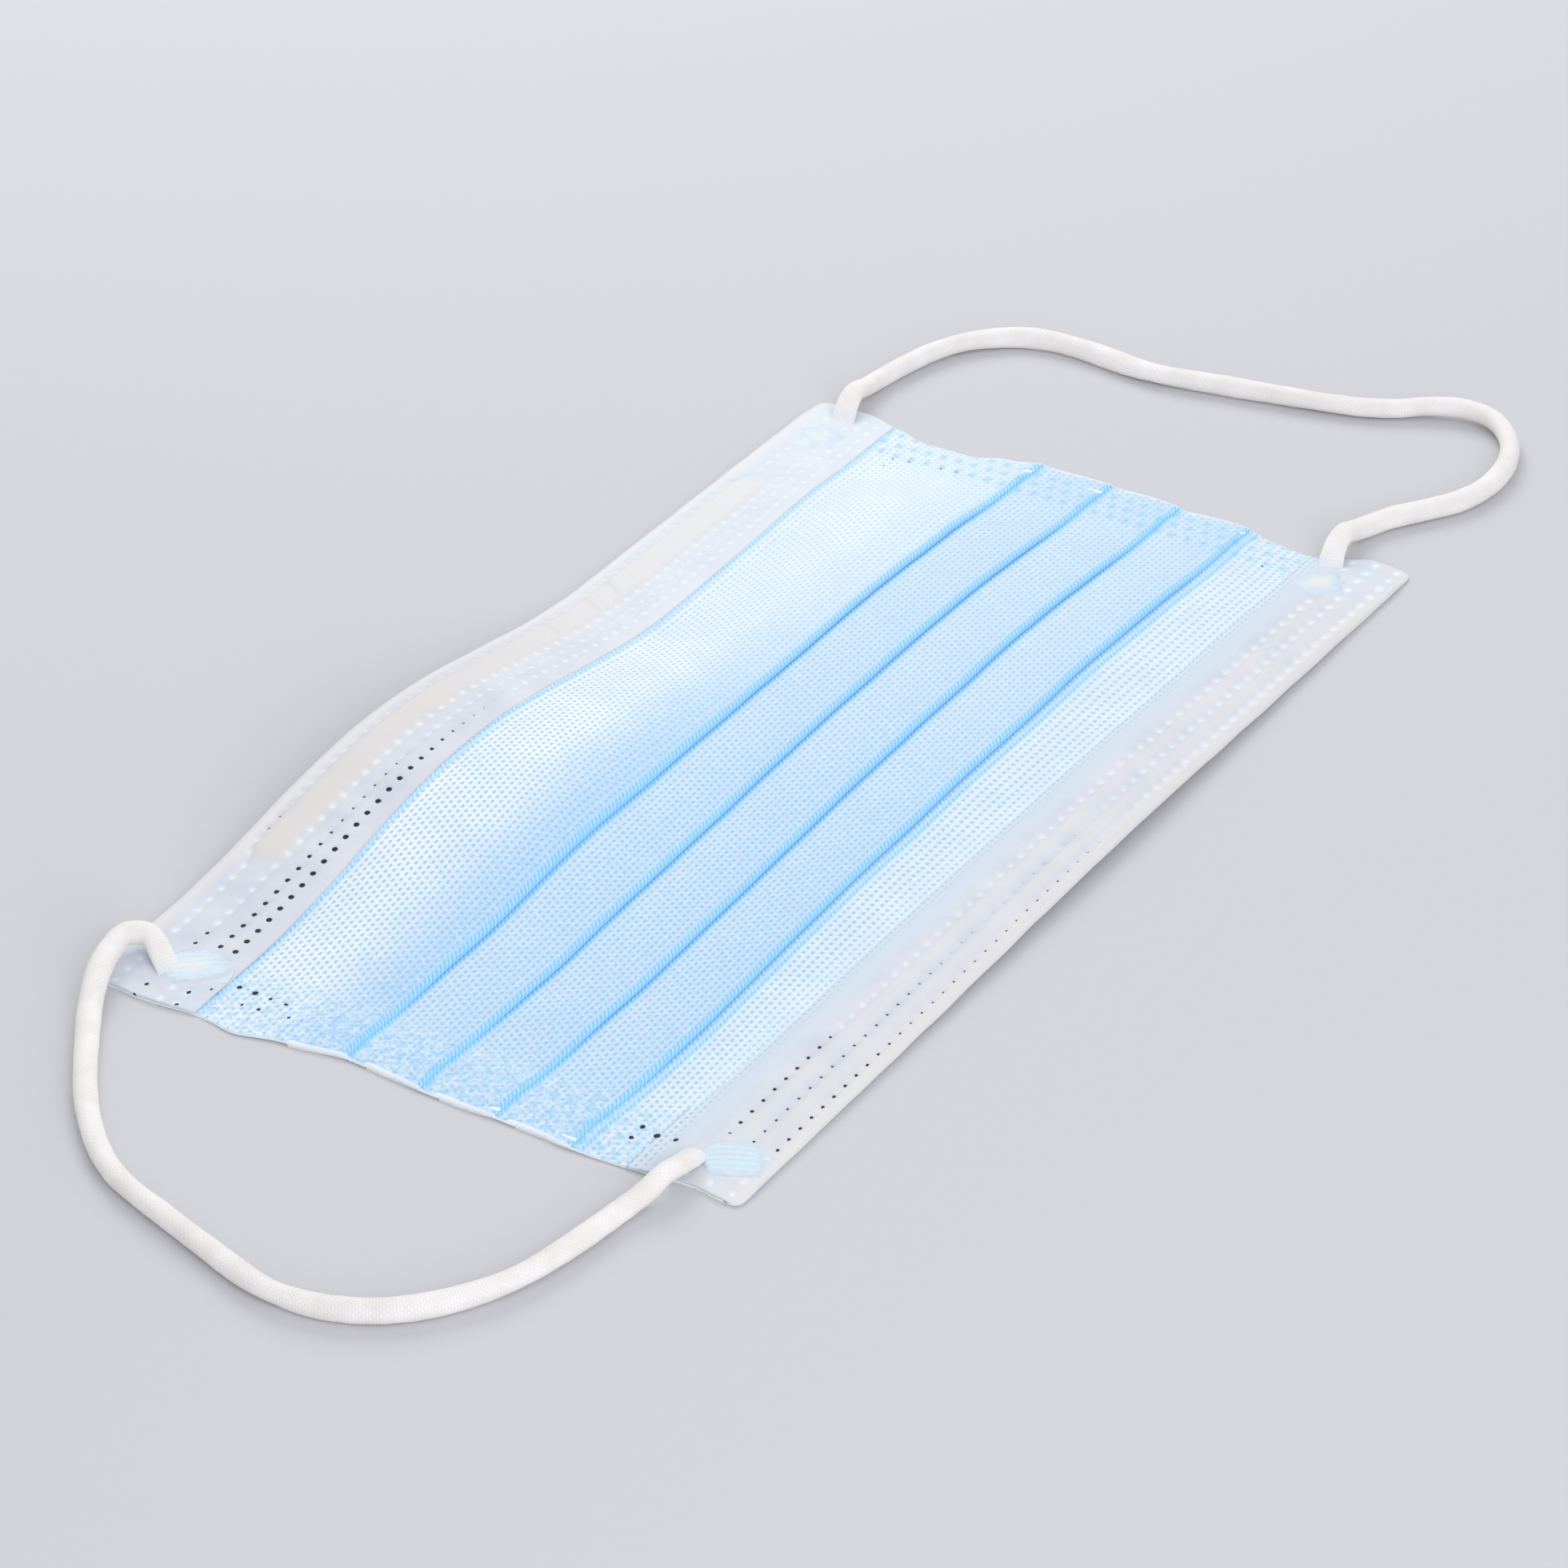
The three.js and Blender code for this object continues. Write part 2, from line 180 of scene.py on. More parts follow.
# Ear loops: the middle of the elastic from its nose end to its chin end
LOOP_LOW = 0.0015             # lying on the floor
LOOP_HIGH = 0.00295           # lying on the hems
NEAR_LOOP = [
    (-0.0830, 0.0374, LOOP_HIGH), (-0.0812, 0.0404, LOOP_HIGH), (-0.0794, 0.0440, 0.0032),
    (-0.0808, 0.0464, 0.0033), (-0.0844, 0.0461, 0.0032), (-0.0890, 0.0446, 0.00295),
    (-0.0940, 0.0422, 0.0018), (-0.0993, 0.0388, LOOP_LOW), (-0.1045, 0.0352, LOOP_LOW),
    (-0.1096, 0.0314, LOOP_LOW), (-0.1142, 0.0273, LOOP_LOW), (-0.1183, 0.0229, LOOP_LOW),
    (-0.1215, 0.0182, LOOP_LOW), (-0.1235, 0.0135, LOOP_LOW), (-0.1250, 0.0089, LOOP_LOW),
    (-0.1265, 0.0045, LOOP_LOW), (-0.1279, 0.0001, LOOP_LOW), (-0.1294, -0.0044, LOOP_LOW),
    (-0.1306, -0.0088, LOOP_LOW), (-0.1310, -0.0129, LOOP_LOW), (-0.1306, -0.0170, LOOP_LOW),
    (-0.1293, -0.0210, LOOP_LOW), (-0.1270, -0.0249, LOOP_LOW), (-0.1236, -0.0284, LOOP_LOW),
    (-0.1192, -0.0315, LOOP_LOW), (-0.1140, -0.0339, LOOP_LOW), (-0.1078, -0.0354, LOOP_LOW),
    (-0.1012, -0.0364, LOOP_LOW), (-0.0954, -0.0371, LOOP_LOW), (-0.0922, -0.0378, 0.0020),
    (-0.0890, -0.0384, 0.00295), (-0.0854, -0.0386, LOOP_HIGH), (-0.0820, -0.0384, LOOP_HIGH),
]
FAR_LOOP = [
    (0.0826, 0.0409, LOOP_HIGH), (0.0856, 0.0419, LOOP_HIGH), (0.0890, 0.0426, 0.00295),
    (0.0928, 0.0429, 0.0019), (0.0972, 0.0427, LOOP_LOW), (0.1024, 0.0418, LOOP_LOW),
    (0.1079, 0.0404, LOOP_LOW), (0.1126, 0.0382, LOOP_LOW), (0.1162, 0.0350, LOOP_LOW),
    (0.1186, 0.0314, LOOP_LOW), (0.1198, 0.0272, LOOP_LOW), (0.1200, 0.0228, LOOP_LOW),
    (0.1196, 0.0182, LOOP_LOW), (0.1191, 0.0136, LOOP_LOW), (0.1192, 0.0090, LOOP_LOW),
    (0.1199, 0.0046, LOOP_LOW), (0.1208, 0.0003, LOOP_LOW), (0.1216, -0.0040, LOOP_LOW),
    (0.1225, -0.0082, LOOP_LOW), (0.1234, -0.0124, LOOP_LOW), (0.1244, -0.0166, LOOP_LOW),
    (0.1257, -0.0208, LOOP_LOW), (0.1278, -0.0249, LOOP_LOW), (0.1304, -0.0290, 0.0018),
    (0.1320, -0.0336, 0.0020), (0.1314, -0.0386, 0.0018), (0.1276, -0.0428, LOOP_LOW),
    (0.1216, -0.0455, LOOP_LOW), (0.1144, -0.0462, LOOP_LOW), (0.1084, -0.0448, LOOP_LOW),
    (0.1036, -0.0419, LOOP_LOW), (0.0989, -0.0387, LOOP_LOW), (0.0948, -0.0369, LOOP_LOW),
    (0.0918, -0.0363, 0.0021), (0.0888, -0.0362, 0.00295), (0.0854, -0.0367, LOOP_HIGH),
    (0.0820, -0.0379, LOOP_HIGH),
]

# For each loop, "flat" says for its nose and chin ends how far they are pressed flat, and how much
# wider that makes them; "seed" picks its own unevenness.
LOOPS = [
    {"name": "ear_cord_near", "node": "ear_loop_near", "route": NEAR_LOOP, "seed": 11.0,
     "flat": ((1.0, 0.16), (0.5, 0.5))},
    {"name": "ear_cord_far", "node": "ear_loop_far", "route": FAR_LOOP, "seed": 23.0,
     "flat": ((1.0, 0.16), (1.0, 0.16))},
]
LOOP_SIDES = 28
PRESSED_REACH = 0.0085        # how far from its end a loop is round again
MELTED_REACH = 0.0040         # how far from its end the elastic is melted together
SINK = 0.0017                 # how far the pressed end lies under the route
MELTED_SINK = 0.0007

# Melted ends of the loops: middle of the pressed patch, half length along its lines, half width
# across them, heading of the lines in degrees, the distance from one line to the next, their
# height and how clearly they show, and how creamy the middle is.
PATCHES = {
    "near_nose": {
        "x": -0.0799, "y": 0.0369, "long": 0.0052, "wide": 0.0044, "turn": -51,
        "line": 0.0011, "ridge": 0.00004, "lines": 0.6, "cream": 0.9,
    },
    "near_chin": {
        "x": -0.0808, "y": -0.0426, "long": 0.0047, "wide": 0.0042, "turn": -58,
        "line": 0.00115, "ridge": 0.00006, "lines": 1.0, "cream": 0.15,
    },
    "far_nose": {
        "x": 0.0775, "y": 0.0412, "long": 0.0052, "wide": 0.0046, "turn": -25,
        "line": 0.0010, "ridge": 0.0, "lines": 0.0, "cream": 0.5,
    },
    "far_chin": {
        "x": 0.0788, "y": -0.0388, "long": 0.0054, "wide": 0.0046, "turn": 30,
        "line": 0.0010, "ridge": 0.0, "lines": 0.0, "cream": 0.9,
    },
}
PATCH_TAPER = (0.42, 0.30)    # how far the patch draws in towards the ends of its length and width
PATCH_BOW = 0.0006            # bow of its lines
PATCH_LOW = -0.00025          # height of its rim and its middle against the fused hem
PATCH_HIGH = 0.00020
PATCH_THICKNESS = 0.00012

# Stage
CAMERA_AZIMUTH = -58.448      # degrees from -Y, and over the floor
CAMERA_ELEVATION = 31.612
CAMERA_DISTANCE = 0.860
CAMERA_TARGET = (0.001108, 0.00068, 0.0)
CAMERA_SHIFT = (0.00156, -0.01314)
SENSOR_WIDTH = 36             # millimetres
FLOOR_HALF = 2.5
KEY_PLACE = (0.46, 0.42, 0.50)
KEY_SIZE = 0.50
FILL_PLACE = (-0.45, -0.62, 0.38)
FILL_SIZE = 0.60


# ---- small maths ---------------------------------------------------------------------------

def smooth(low, high, value):
    """0 below low, 1 above high, and an even rise between."""
    t = min(1.0, max(0.0, (value - low) / (high - low)))
    return t * t * (3 - 2 * t)


def fade(low, high, value):
    """1 below low, 0 above high."""
    return 1 - smooth(low, high, value)


def mix(a, b, share):
    """a where share is 0, b where it is 1."""
    return a + (b - a) * share


def bell(distance, width):
    """1 at no distance, falling to a third at width."""
    return math.exp(-((distance / width) ** 2))


def ripple(x, y, size, seed=0.0):
    """Smooth noise between about -1 and 1, with features of the given size."""
    return noise.noise(Vector((x / size, y / size, seed)))


def spread(start, end, step):
    """Evenly spaced places from start to end, about a step apart."""
    count = max(1, round(abs(end - start) / step))
    return [start + (end - start) * k / count for k in range(count + 1)]


def to_nearest(value, pitch):
    """Distance from value to the nearest multiple of pitch."""
    return abs((value + pitch / 2) % pitch - pitch / 2)


# ---- the form of the lying mask ------------------------------------------------------------

def arch(x, y):
    """Height that the bent wire holds the cloth over the floor."""
    if abs(x - ARCH_X) >= ARCH_HALF:
        return 0.0
    along = math.cos(math.pi / 2 * (x - ARCH_X) / ARCH_HALF) ** 2
    up = SHOULDER_LIFT * smooth(0, ARCH_SHOULDER, y)
    down = (SHOULDER_LIFT - 1) * smooth(ARCH_SHOULDER, HEIGHT / 2, y)
    return ARCH_RISE * along * (up - down)


def openness(x):
    """1 where the pleats are open, 0 where the short edges are fused."""
    return fade(PRESS_START, PRESS_END, abs(x))


def ground(x, y):
    """Height of the mask's underside over the floor."""
    swell = sum(
        p["rise"] * bell(x - p["x"], p["wide"]) * bell(y - p["y"], p["deep"]) for p in PUFFS
    )
    swell += LOFT * (1 + ripple(x, y, 0.021, 3.0)) * fade(0.038, 0.046, abs(y))
    return arch(x, y) + swell * openness(x)


def cut_edge(x, y):
    """How far out the cut of the short edge on x's side is at y."""
    table = FAR_EDGE if x > 0 else NEAR_EDGE
    for (low_y, low), (high_y, high) in zip(table, table[1:]):
        if y <= high_y:
            return mix(low, high, smooth(low_y, high_y, y))
    return table[-1][1]


def to_edge(x, y, back=0.0):
    """Stretches the end of the cloth so that it stops at the cut, or some way back from it."""
    reach = abs(x) - EVEN_END
    if reach <= 0:
        return x
    cut = cut_edge(x, y) - back + FRAY * ripple(y, math.copysign(1, x), 0.0031)
    return math.copysign(EVEN_END + reach * (cut - EVEN_END) / (WIDTH / 2 - EVEN_END), x)


def sliver(x, y):
    """How much of the under plies' edge shows past the blue ply at y."""
    past = SLIVER_START - y
    if past < 0 or past > SLIVER_COUNT * SLIVER_PITCH:
        return THIN_SLIVER
    t = past % SLIVER_PITCH / SLIVER_PITCH
    wide = SLIVER if x < 0 else 0.5 * SLIVER
    return THIN_SLIVER + wide * smooth(0.0, 0.05, t) * (1 - t) ** 0.7


def squash(x):
    """What is left of the height at x, where the knife has pinched the cut ends thin."""
    return 1 - PINCH * smooth(PINCH_START, PINCH_END, abs(x))


def drift(x, y):
    """How far the pleats wander towards the nose edge at x; nothing at the hems."""
    full = 0.0020 * smooth(-0.070, 0.012, x) + 0.0004 * bell(x - 0.045, 0.015)
    full += 0.0008 * bell(x + 0.086, 0.012) + 0.00025 * ripple(x, y, 0.016, 2.0)
    return full * fade(0.012, 0.030, y) * fade(0.025, 0.034, -y)


def border_y(border, x):
    """Y of a hem's inner edge at x."""
    return mix(border[0], border[1], x / WIDTH + 0.5) + 0.00022 * ripple(x, border[0], 0.024)


def over_wire(x):
    """1 along the wire, 0 past its ends."""
    return fade(WIRE_HALF_LENGTH - 0.001, WIRE_HALF_LENGTH + 0.004, abs(x - WIRE_MIDDLE_X))


# ---- the folded plies ----------------------------------------------------------------------

def pleat_rows(panel_step, hidden_step, turn_steps):
    """Stations across the folded sheet from the nose margin to the chin margin. Each has the
    middle of the laminate (y, z), the way its blue side looks (ny, nz) and its place on the flat
    sheet (v). share is its share of the way down a panel that shows, 2 on a fold that shows, and
    -1 where it is hidden. top marks the top panel, and under what a fold above holds down."""
    slope = 2 * LAYER / PITCH
    high = CLOTH_BASE + slope * (PITCH + DEPTH)
    radius = LAYER / 2
    rows = []

    def add(y, z, ny, nz, forward, share=-1.0, top=0.0):
        v = rows[-1]["v"] + forward if rows else 0.0
        under = nz == 1.0 and share < 0.3 and y < FOLDS[0] + DEPTH
        rows.append({
            "y": y, "z": z, "ny": ny, "nz": nz, "v": v, "share": share, "top": top, "under": under,
        })

    def panel(start_y, start_z, end_y, end_z, step, shares, top=0.0):
        count = max(2, 2 * round(abs(end_y - start_y) / step / 2))
        advance = step if shares else abs(end_y - start_y) / count
        for k in range(count):
            t = (k + 1) / count
            share = mix(*shares, t) if shares else -1.0
            add(mix(start_y, end_y, t), mix(start_z, end_z, t), 0.0, 1.0, advance, share, top)

    def turn(centre_y, centre_z, way, length):
        for k in range(1, turn_steps + 1):
            a = math.pi * k / turn_steps
            y = centre_y + way * radius * math.sin(a)
            z = centre_z + radius * math.cos(a)
            share = 2.0 if way < 0 else -1.0
            add(y, z, -math.sin(a), -way * math.cos(a), length / turn_steps, share)

    add(CLOTH_MARGIN, CLOTH_BASE, 0.0, 1.0, 0.0)
    panel(CLOTH_MARGIN, CLOTH_BASE, TOP_PANEL, CLOTH_BASE, panel_step, (0.0, 0.0), 1.0)
    rows[-1]["v"] = round(rows[-1]["v"] / DIMPLE_Y) * DIMPLE_Y
    panel(TOP_PANEL, CLOTH_BASE, FOLDS[0] + radius, high, panel_step, (0.0, 1.0), 1.0)
    for k, fold in enumerate(FOLDS):
        turn(fold + radius, high - radius, -1, 3 * DIMPLE_Y / 2)
        back_y = fold + DEPTH - radius
        back_z = high - LAYER - slope * (DEPTH - 2 * radius)
        count = max(2, round(DEPTH / hidden_step))
        for j in range(count):
            t = (j + 1) / count
            y = mix(fold + radius, back_y, t)
            add(y, mix(high - LAYER, back_z, t), 0.0, -1.0, DEPTH / count)
        turn(back_y, back_z - radius, 1, LAYER)
        under_z = back_z - LAYER
        panel(back_y, under_z, fold, under_z + slope * (back_y - fold), hidden_step, None)
        rows[-1]["v"] = round(rows[-1]["v"] / DIMPLE_Y) * DIMPLE_Y
        if k + 1 < len(FOLDS):
            panel(fold, rows[-1]["z"], FOLDS[k + 1] + radius, high, panel_step, (0.0, 1.0))
    panel(FOLDS[-1], rows[-1]["z"], LAST_PANEL, CLOTH_BASE, panel_step, (0.0, 0.8))
    panel(LAST_PANEL, CLOTH_BASE, -CLOTH_MARGIN, CLOTH_BASE, panel_step, None)
    return rows


def cloth_place(x, row, offset, back=0.0):
    """Where a point of a ply lies: x along the mask, a row of pleat_rows, the distance from the
    middle of the laminate towards its blue side, and how far it stops short of the cut edge."""
    y = row["y"] + offset * row["ny"]
    is_open = openness(x)
    z = CLOTH_BASE + (row["z"] - CLOTH_BASE) * mix(PRESSED, 1.0, is_open) + offset * row["nz"]
    share = row["share"]
    if 0.0 < share < 1.0:
        full = TOP_PUFF if row["top"] else PANEL_PUFF
        lean = share ** 0.85
        z += full * 4 * lean * (1 - lean) * mix(FLAT_PUFF, 1.0, is_open)
        z += DRAPE * ripple(x, y, 0.0045, 5.0) * is_open
    z += MARGIN_LIFT * smooth(TOP_PANEL, TOP_PANEL + 0.002, abs(y))
    if row["under"]:
        z += FOLD_LIFT * max(bell(y - fold, 0.0016) for fold in FOLDS)
    y += drift(x, y)
    height = ground(x, y)
    x = to_edge(x, y, back)
    return Vector((x, y, height + z * squash(x)))


# ---- weld dots -----------------------------------------------------------------------------

def nose_rows(x):
    """Y of the nose hem's rows of weld dots at x, from the inner edge outwards."""
    inner = border_y(NOSE_BORDER, x)
    far = x / WIDTH + 0.5
    wire = over_wire(x)
    return [
        inner + mix(0.0030, 0.0021, far),
        inner + mix(0.0053, 0.0040, far),
        mix(0.0400, 0.0397, wire),
        mix(0.0438, 0.0453, wire),
    ]


def chin_rows(x):
    """The same for the chin hem."""
    return [-0.0390 - 0.0004 * smooth(0, 0.08, x), -0.0424, -0.0458]


def dot_distance(x, y, rows, shifts, pitch, phase):
    """Distance to the middle of the nearest weld dot, and that dot's row."""
    best = 1.0
    which = 0
    for k, (row_y, shift) in enumerate(zip(rows, shifts)):
        away = math.hypot(to_nearest(x - phase - shift, pitch), 1.15 * (y - row_y))
        if away < best:
            best = away
            which = k
    return best, which


def nose_pinhole(x, row):
    """Radius of the pinhole in a weld dot of the nose hem."""
    if row == 0:
        radius = mix(0.00046, 0.0002, smooth(-0.040, -0.016, x))
        return radius * fade(-0.014, -0.008, x) * (x > -0.0775)
    if row == 1:
        radius = mix(0.00042, 0.00026, smooth(-0.060, -0.045, x))
        return radius * fade(-0.036, -0.026, x) * (x > -0.0755)
    if row == 2:
        return 0.00034 * (x < -0.0715)
    return 0.00024 * (-0.0535 < x < -0.0465)


def chin_pinhole(x, row):
    """Radius of the pinhole in a weld dot of the chin hem."""
    if row == 0:
        return 0.00034 * smooth(-0.0795, -0.0735, x) * fade(-0.053, -0.049, x)
    if row == 1:
        radius = mix(0.00027, 0.00018, smooth(-0.045, -0.020, x))
        return radius * (x > -0.077) * fade(-0.010, 0.022, x)
    radius = mix(0.00033, 0.00022, smooth(-0.060, -0.040, x))
    return radius * (x > -0.0765) * fade(-0.012, 0.022, x)


# Pinholes of the side welds, one by one, in the blue ply and in the hems' ends: x, y, radius
SIDE_PINHOLES = [
    (-0.0797, 0.0324, 0.00052), (-0.0798, 0.0299, 0.00044), (-0.0800, 0.0274, 0.00050),
    (-0.0802, 0.0249, 0.00034), (-0.0803, 0.0225, 0.00036), (-0.0823, 0.0299, 0.00024),
    (-0.0830, 0.0273, 0.00030), (-0.0829, 0.0248, 0.00036), (-0.0826, 0.0205, 0.00028),
    (-0.0850, 0.0299, 0.00024), (-0.0859, 0.0225, 0.00022), (-0.0798, 0.0183, 0.00020),
    (-0.0840, 0.0345, 0.00036), (-0.0868, 0.0343, 0.00034), (-0.0822, 0.0325, 0.00026),
    (-0.0819, 0.0347, 0.00024), (-0.0766, 0.0343, 0.00028),
    (-0.0793, -0.0291, 0.00044), (-0.0819, -0.0292, 0.00042), (-0.0800, -0.0316, 0.00054),
    (-0.0801, -0.0342, 0.00042), (-0.0829, -0.0318, 0.00026), (-0.0787, -0.0143, 0.00020),
    (-0.0816, -0.0145, 0.00020), (-0.0760, -0.0268, 0.00016),
    (0.0790, 0.0300, 0.00024), (0.0792, 0.0275, 0.00030), (0.0765, 0.0300, 0.00022),
    (0.0795, 0.0225, 0.00026), (0.0797, 0.0200, 0.00018), (0.0792, -0.0290, 0.00022),
    (0.0640, -0.0300, 0.00022), (0.0480, -0.0330, 0.00028),
]


def side_pinhole(x, y):
    """Signed distance to the rim of the nearest pinhole of the side welds."""
    return min(math.hypot(x - px, 1.2 * (y - py)) - radius for px, py, radius in SIDE_PINHOLES)


def side_weld(x, y):
    """Distance to the middle of the nearest dash of the side welds."""
    best = 1.0
    for k, column in enumerate(SIDE_COLUMNS):
        across = abs(abs(x) - column) * 0.75
        along = to_nearest(y - SIDE_PHASE - k * SIDE_PITCH / 2, SIDE_PITCH)
        best = min(best, math.hypot(across, along))
    return best


# ---- mesh helpers --------------------------------------------------------------------------

def grid_piece(name, columns, rows, place, layers=(), flip=False):
    """A sheet of columns by rows: place(column, row) gives a point, its UV and its layers."""
    bm = bmesh.new()
    uv_layer = bm.loops.layers.uv.new("UVMap")
    float_layers = [bm.verts.layers.float.new(layer) for layer in layers]
    across = len(columns) - 1
    down = len(rows) - 1
    bmesh.ops.create_grid(bm, x_segments=across, y_segments=down, size=0.5)
    uvs = {}
    for vertex in bm.verts:
        i = round((vertex.co.x + 0.5) * across)
        j = round((0.5 - vertex.co.y) * down)
        point, uv, values = place(columns[i], rows[j])
        vertex.co = point
        uvs[vertex.index] = uv
        for layer, value in zip(float_layers, values):
            vertex[layer] = value
    for face in bm.faces:
        face.smooth = True
        for loop in face.loops:
            loop[uv_layer].uv = uvs[loop.vert.index]
    if flip:
        bmesh.ops.reverse_faces(bm, faces=bm.faces[:])
    return finished(name, bm)


def finished(name, bm):
    """Turns a bmesh into an object in the scene."""
    mesh = bpy.data.meshes.new(name)
    bm.to_mesh(mesh)
    bm.free()
    piece = bpy.data.objects.new(name, mesh)
    bpy.context.scene.collection.objects.link(piece)
    return piece


def thicken(piece, thickness, rim_slot=0):
    """Gives a sheet its thickness, half to each side."""
    solid = piece.modifiers.new("Thickness", "SOLIDIFY")
    solid.thickness = thickness
    solid.offset = 0.0
    solid.use_even_offset = False
    solid.material_offset_rim = rim_slot


# ---- materials -----------------------------------------------------------------------------

# Sizes of the patterns, in millimetres. Single fibres, 0.02 mm thick, are too fine to show, so they
# are drawn as tufts of many. The dimples (0.5 by 0.3 mm) are as wide and as far apart as real ones.
FIBRE_TUFT = 0.45
COARSE_TUFT = 0.8             # matted fibres of the fused ends
CLOUD = 9                     # uneven lay of the blue fibres
WHITE_CLOUD = 6
WHITE_TUFT = 0.5
FILTER_TUFT = 0.7
DRAW_MARK = 1.2
DIMPLE_GAP = 0.31             # half the cloth between two dimples
VEILED_GAP = 0.34             # the same, seen blurred through a hem
STRAND_GAP = 0.8378           # from one bundle of stretched fibres to the next along a fold
WAVE_REPEAT = 2 * math.pi / 10     # the wave texture's own length
STITCH_LONG = 0.7             # stitches of the elastic
STITCH_WIDE = 0.38
STITCH_GROOVE = 0.07
FUZZ = 0.4                    # hairs of 0.05 mm are too fine to show and are drawn as tufts
CORD_CLOUD = 5
MELT_CLOUD = 1.8
PAPER_TOOTH = 2               # a real tooth of 0.2 mm would not show
BRICKS = {"offset": 0.5, "offset_frequency": 2}
# The pinholes' near-black is painted shade, for the dark space seen through a hole.
HOLE_SHADE = (0.012, 0.013, 0.016)
HOLE_RIM = (-0.03, 0.05)      # millimetres over which a pinhole's rim turns dark


def linear(text):
    """An sRGB hex colour as linear red, green and blue."""
    parts = [int(text[k:k + 2], 16) / 255 for k in (1, 3, 5)]
    return tuple(p / 12.92 if p <= 0.04045 else ((p + 0.055) / 1.055) ** 2.4 for p in parts)


def node(tree, kind, inputs=None, **settings):
    """Adds a node with its settings. An input is a number, a colour or another node's socket."""
    made = tree.nodes.new(kind)
    for name, value in settings.items():
        setattr(made, name, value)
    for name, value in (inputs or {}).items():
        if isinstance(value, bpy.types.NodeSocket):
            tree.links.new(value, made.inputs[name])
        else:
            made.inputs[name].default_value = value
    return made


def new_material(name, **surface):
    """A material with a Principled surface and its output; returns it, its tree and the shader."""
    material = bpy.data.materials.new(name)
    material.use_nodes = True
    tree = material.node_tree
    tree.nodes.clear()
    shader = node(tree, "ShaderNodeBsdfPrincipled", surface)
    node(tree, "ShaderNodeOutputMaterial", {"Surface": shader.outputs["BSDF"]})
    return material, tree, shader


def layer(tree, under, over, where, span=None, shares=(0.0, 1.0)):
    """Lays one colour over another. where is a share, a socket or the name of the piece's own
    attribute; span is the two values of it that are turned into the two shares."""
    if isinstance(where, str):
        where = node(tree, "ShaderNodeAttribute", attribute_name=where).outputs["Fac"]
    if span:
        where = node(tree, "ShaderNodeMapRange", {
            "Value": where, "From Min": span[0], "From Max": span[1],
            "To Min": shares[0], "To Max": shares[1],
        }).outputs["Result"]
    under, over = (c if isinstance(c, bpy.types.NodeSocket) else (*c, 1) for c in (under, over))
    return node(tree, "ShaderNodeMix", {0: where, 6: under, 7: over}, data_type="RGBA").outputs[2]


def grain(tree, size, shift=0.0):
    """Object coordinates in units of the given size in millimetres, for an even grain."""
    where = node(tree, "ShaderNodeTexCoord").outputs["Object"]
    scale = 1 / (size * MM)
    return node(tree, "ShaderNodeMapping", {
        "Vector": where, "Scale": (scale, scale, scale), "Location": (shift, 0, 0),
    }).outputs["Vector"]


def flat_sheet(tree):
    """The piece's own UV map, in millimetres."""
    uv = node(tree, "ShaderNodeUVMap", uv_map="UVMap").outputs["UV"]
    return node(tree, "ShaderNodeMapping", {
        "Vector": uv, "Scale": (1 / MM, 1 / MM, 1),
    }).outputs["Vector"]


def finish_surface(tree, shader, colour, height=None, strength=0.0, depth=0.0):
    """Gives the shader its colour and, from a height, its fine relief of depth millimetres."""
    tree.links.new(colour, shader.inputs["Base Color"])
    if height:
        bump = node(tree, "ShaderNodeBump", {
            "Height": height, "Strength": strength, "Distance": depth * MM,
        })
        tree.links.new(bump.outputs["Normal"], shader.inputs["Normal"])


